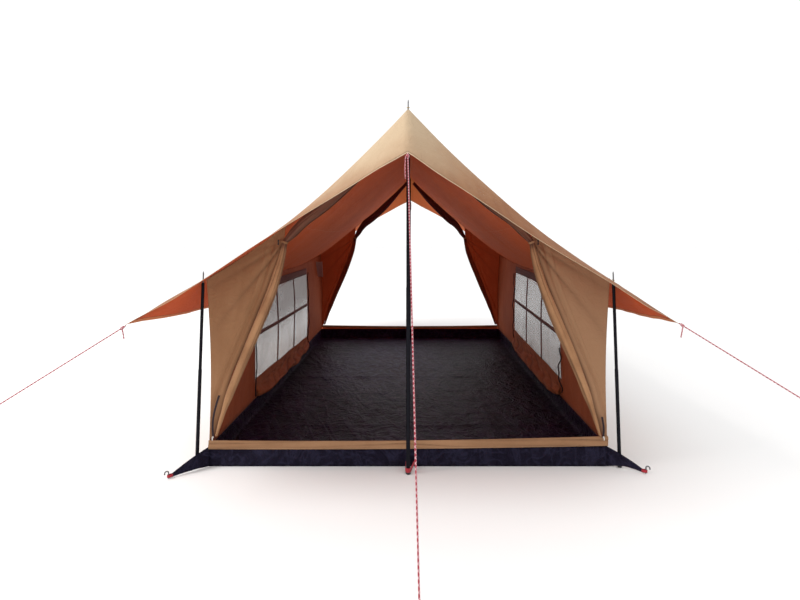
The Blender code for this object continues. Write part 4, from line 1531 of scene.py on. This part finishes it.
def frames_of(points):
    """Each point of a line with two directions square to the line that don't twist."""
    points = [Vector(point) for point in points]
    runs = []
    for i in range(len(points)):
        runs.append((points[min(i + 1, len(points) - 1)] - points[max(i - 1, 0)]).normalized())
    beside = runs[0].orthogonal().normalized()
    made = []
    for point, run in zip(points, runs):
        beside = (beside - run * beside.dot(run)).normalized()
        made.append((point, beside, run.cross(beside)))
    return made


def add_rope(shape, points, radius=ROPE_RADIUS, sides=8):
    """Sweeps a round rope along a line of points and closes both of its ends."""
    frames = frames_of(points)
    stations = [frames[0]] + frames + [frames[-1]]
    lengths = [0.0, 0.0]
    for (start, _, _), (stop, _, _) in zip(frames, frames[1:]):
        lengths.append(lengths[-1] + (stop - start).length)
    lengths.append(lengths[-1])
    last = len(stations) - 1

    def place(a, b):
        row = round(b * last)
        point, beside, above = stations[row]
        reach = 0.0 if row in (0, last) else radius
        turn = 2 * math.pi * a
        return point + (beside * math.cos(turn) + above * math.sin(turn)) * reach

    add_cloth(shape, sides, last, place, lambda a, b: (a, lengths[round(b * last)]), merge=0.000001)


def coil_round(start, run, turns, reach, pitch, steps=14):
    """The turns of a knot round a line."""
    run = Vector(run).normalized()
    beside = run.orthogonal().normalized()
    above = run.cross(beside)
    made = []
    for i in range(int(turns * steps) + 1):
        turn = 2 * math.pi * i / steps
        made.append(
            Vector(start) + run * pitch * i / steps
            + (beside * math.cos(turn) + above * math.sin(turn)) * reach
        )
    return made


def guy_line(name, node, head, peg_at, tail_length):
    head, foot = Vector(head), Vector((*peg_at, 0.022))
    run = (foot - head).normalized()
    length = (foot - head).length
    outward = Vector((run.x, run.y, 0)).normalized()
    beside = Vector((-outward.y, outward.x, 0))
    shape = bmesh.new()
    hitch = length - 0.32
    main = [head + run * length * i / 60 for i in range(int(60 * (hitch + 0.05) / length) + 1)]
    add_rope(shape, main)
    add_rope(shape, coil_round(head + run * 0.012, run, 3.0, 0.0052, 0.0062))
    add_rope(shape, coil_round(head + run * hitch, run, 4.0, 0.0052, 0.0062))
    noose = []
    around = foot + outward * 0.0
    for i in range(25):
        share = i / 24
        swing = math.sin(math.pi * share) ** 0.5 * (PEG_RADIUS + ROPE_RADIUS + 0.001)
        away = 1 - abs(2 * share - 1)
        place = (head + run * (hitch + 0.02)).lerp(around, min(1.0, away * 1.03))
        noose.append(place + beside * swing * (1 if share < 0.5 else -1) * min(1, 3 * away + 0.2))
    noose[12] = around + outward * (PEG_RADIUS + ROPE_RADIUS + 0.001)
    add_rope(shape, noose)
    tail = [head + run * 0.016]
    for i in range(17):
        share = i / 16
        drop = Vector((0, 0, -1)) * tail_length * share
        sway = -beside * (0.012 + 0.003 * math.sin(3.0 * share)) + run * 0.012 * (1 - share)
        tail.append(head + run * 0.012 + sway + drop)
    add_rope(shape, tail)
    end_tail = [head + run * (hitch + 0.028) + beside * 0.006]
    for i in range(1, 9):
        share = i / 8
        end_tail.append(
            end_tail[0] + beside * 0.02 * share + run * 0.01 * share + Vector((0, 0, -0.07)) * share ** 1.3
        )
    add_rope(shape, end_tail)
    return finished(name, shape, [braided_rope], node, recalculate=True)


hook_steel = Finish("dark_peg_steel", roughness=0.4, metallic=0.9)
peg_steel = hook_steel.wear(
    colour=hook_steel.dyed(hook_steel.cloud(70.0), (0.10, 0.10, 0.11), (0.22, 0.22, 0.23)),
    roughness=0.32 + hook_steel.cloud(110.0) * 0.3,
    normal=hook_steel.raised(hook_steel.cloud(260.0), 0.0002, 0.4),
)


def hooked_peg(name, node, at, outward):
    """The top of a bent round peg; the rest of it is in the ground."""
    way = Vector((*outward, 0)).normalized()
    base = Vector((*at, 0))
    points = [base + Vector((0, 0, z)) for z in (0.0, 0.008, 0.016, 0.024, 0.032)]
    for i in range(1, 10):
        turn = math.pi * i / 9
        points.append(base + Vector((0, 0, 0.032 + 0.011 * math.sin(turn))) + way * 0.011 * (1 - math.cos(turn)))
    points.append(points[-1] + Vector((0, 0, -0.006)))
    shape = bmesh.new()
    add_rope(shape, points, PEG_RADIUS, 12)
    return finished(name, shape, [peg_steel], node, recalculate=True)


for end, end_name in END_NAMES.items():
    depth, height = AWNING_CENTRE[end]
    guy_line(
        f"guy_rope_{end_name}", f"guy_line_{end_name}", (0, end * (depth + 0.004), height - 0.006),
        GUY_PEG[end], 0.13,
    )
    hooked_peg(f"guy_stake_{end_name}", f"guy_peg_{end_name}", GUY_PEG[end], (0, end))
    for side, side_name in SIDE_NAMES.items():
        corner = f"{end_name}_{side_name}"
        peg_at = (side * CORNER_GUY_PEG[0], end * CORNER_GUY_PEG[1])
        pull = TIP_PULL[(side, end)]
        head = (side * (TIP[0] + pull[0] + 0.004), end * (TIP[1] + 0.012), TIP[2] + pull[1] - 0.002)
        guy_line(f"guy_rope_{corner}", f"guy_line_{corner}", head, peg_at, 0.07)
        hooked_peg(f"guy_stake_{corner}", f"guy_peg_{corner}", peg_at, (side, end * 0.6))


# Webbing: a red strap holds each main pole's foot to the tub, and a red loop on each tail goes
# round its peg. Flat woven tape, 20 mm wide.
tape_weave = Finish("red_webbing", roughness=0.75, Sheen_Weight=0.15)
tape_across, tape_along, _ = tape_weave.parts(tape_weave.cloth)
ribs = (tape_along * (2 * math.pi / 0.0022)).sine() * 0.5 + (tape_across * (2 * math.pi / 0.0035)).sine() * 0.5
red_webbing = tape_weave.wear(
    colour=tape_weave.dyed(tape_weave.cloud(60.0, detail=4.0), (0.30, 0.006, 0.015), (0.52, 0.015, 0.035)),
    roughness=0.68 + tape_weave.cloud(90.0) * 0.2,
    normal=tape_weave.raised(ribs, 0.0006, 0.7),
)


def tape(name, node, points, width, lay):
    """A flat tape along a line; lay is the direction of its width."""
    lay = Vector(lay).normalized()
    rows = len(points) - 1
    total = sum((Vector(b) - Vector(a)).length for a, b in zip(points, points[1:]))

    def place(a, b):
        return Vector(points[round(b * rows)]) + lay * width * (a - 0.5)

    shape = bmesh.new()
    add_cloth(shape, 3, rows, place, lambda a, b: (a * width, b * total))
    made = finished(name, shape, [red_webbing], node)
    return thickened(made, 0.0016, 0.0, lining=0)


for end, end_name in END_NAMES.items():
    loop = [
        (0.046, end * (TUB_Y + 0.004), 0.040), (0.036, end * (TUB_Y + 0.03), 0.036),
        (0.022, end * (MAIN_POLE_Y - 0.02), 0.030), (0.0175, end * MAIN_POLE_Y, 0.028),
        (0.0145, end * (MAIN_POLE_Y + 0.010), 0.027), (0.007, end * (MAIN_POLE_Y + 0.0165), 0.026),
        (0.0, end * (MAIN_POLE_Y + 0.018), 0.026), (-0.007, end * (MAIN_POLE_Y + 0.0165), 0.026),
        (-0.0145, end * (MAIN_POLE_Y + 0.010), 0.027), (-0.0175, end * MAIN_POLE_Y, 0.028),
        (-0.018, end * (MAIN_POLE_Y - 0.02), 0.029), (-0.015, end * (TUB_Y + 0.03), 0.030),
        (-0.010, end * (TUB_Y + 0.004), 0.032),
    ]
    tape(f"pole_strap_{end_name}", f"foot_strap_{end_name}", smoothed(loop), 0.026, (0, 0, 1))
    for side, side_name in SIDE_NAMES.items():
        tip = TAIL_TIP[(side, end)]
        start = Vector((side * tip[0], end * tip[1], 0.013))
        away = Vector((side * (tip[0] - TUB_X), end * (tip[1] - TUB_Y), 0)).normalized()
        beside = Vector((-away.y, away.x, 0))
        peg_point = start + away * 0.018
        ring = []
        for i in range(17):
            turn = 2 * math.pi * i / 16
            ring.append(start + away * (0.010 - 0.016 * math.cos(turn)) + beside * 0.008 * math.sin(turn))
        tape(f"tail_loop_{end_name}_{side_name}", None, ring, 0.016, (0, 0, 1))
        hooked_peg(
            f"tail_stake_{end_name}_{side_name}", f"tail_peg_{end_name}_{side_name}",
            (peg_point.x, peg_point.y), (away.x, away.y),
        )
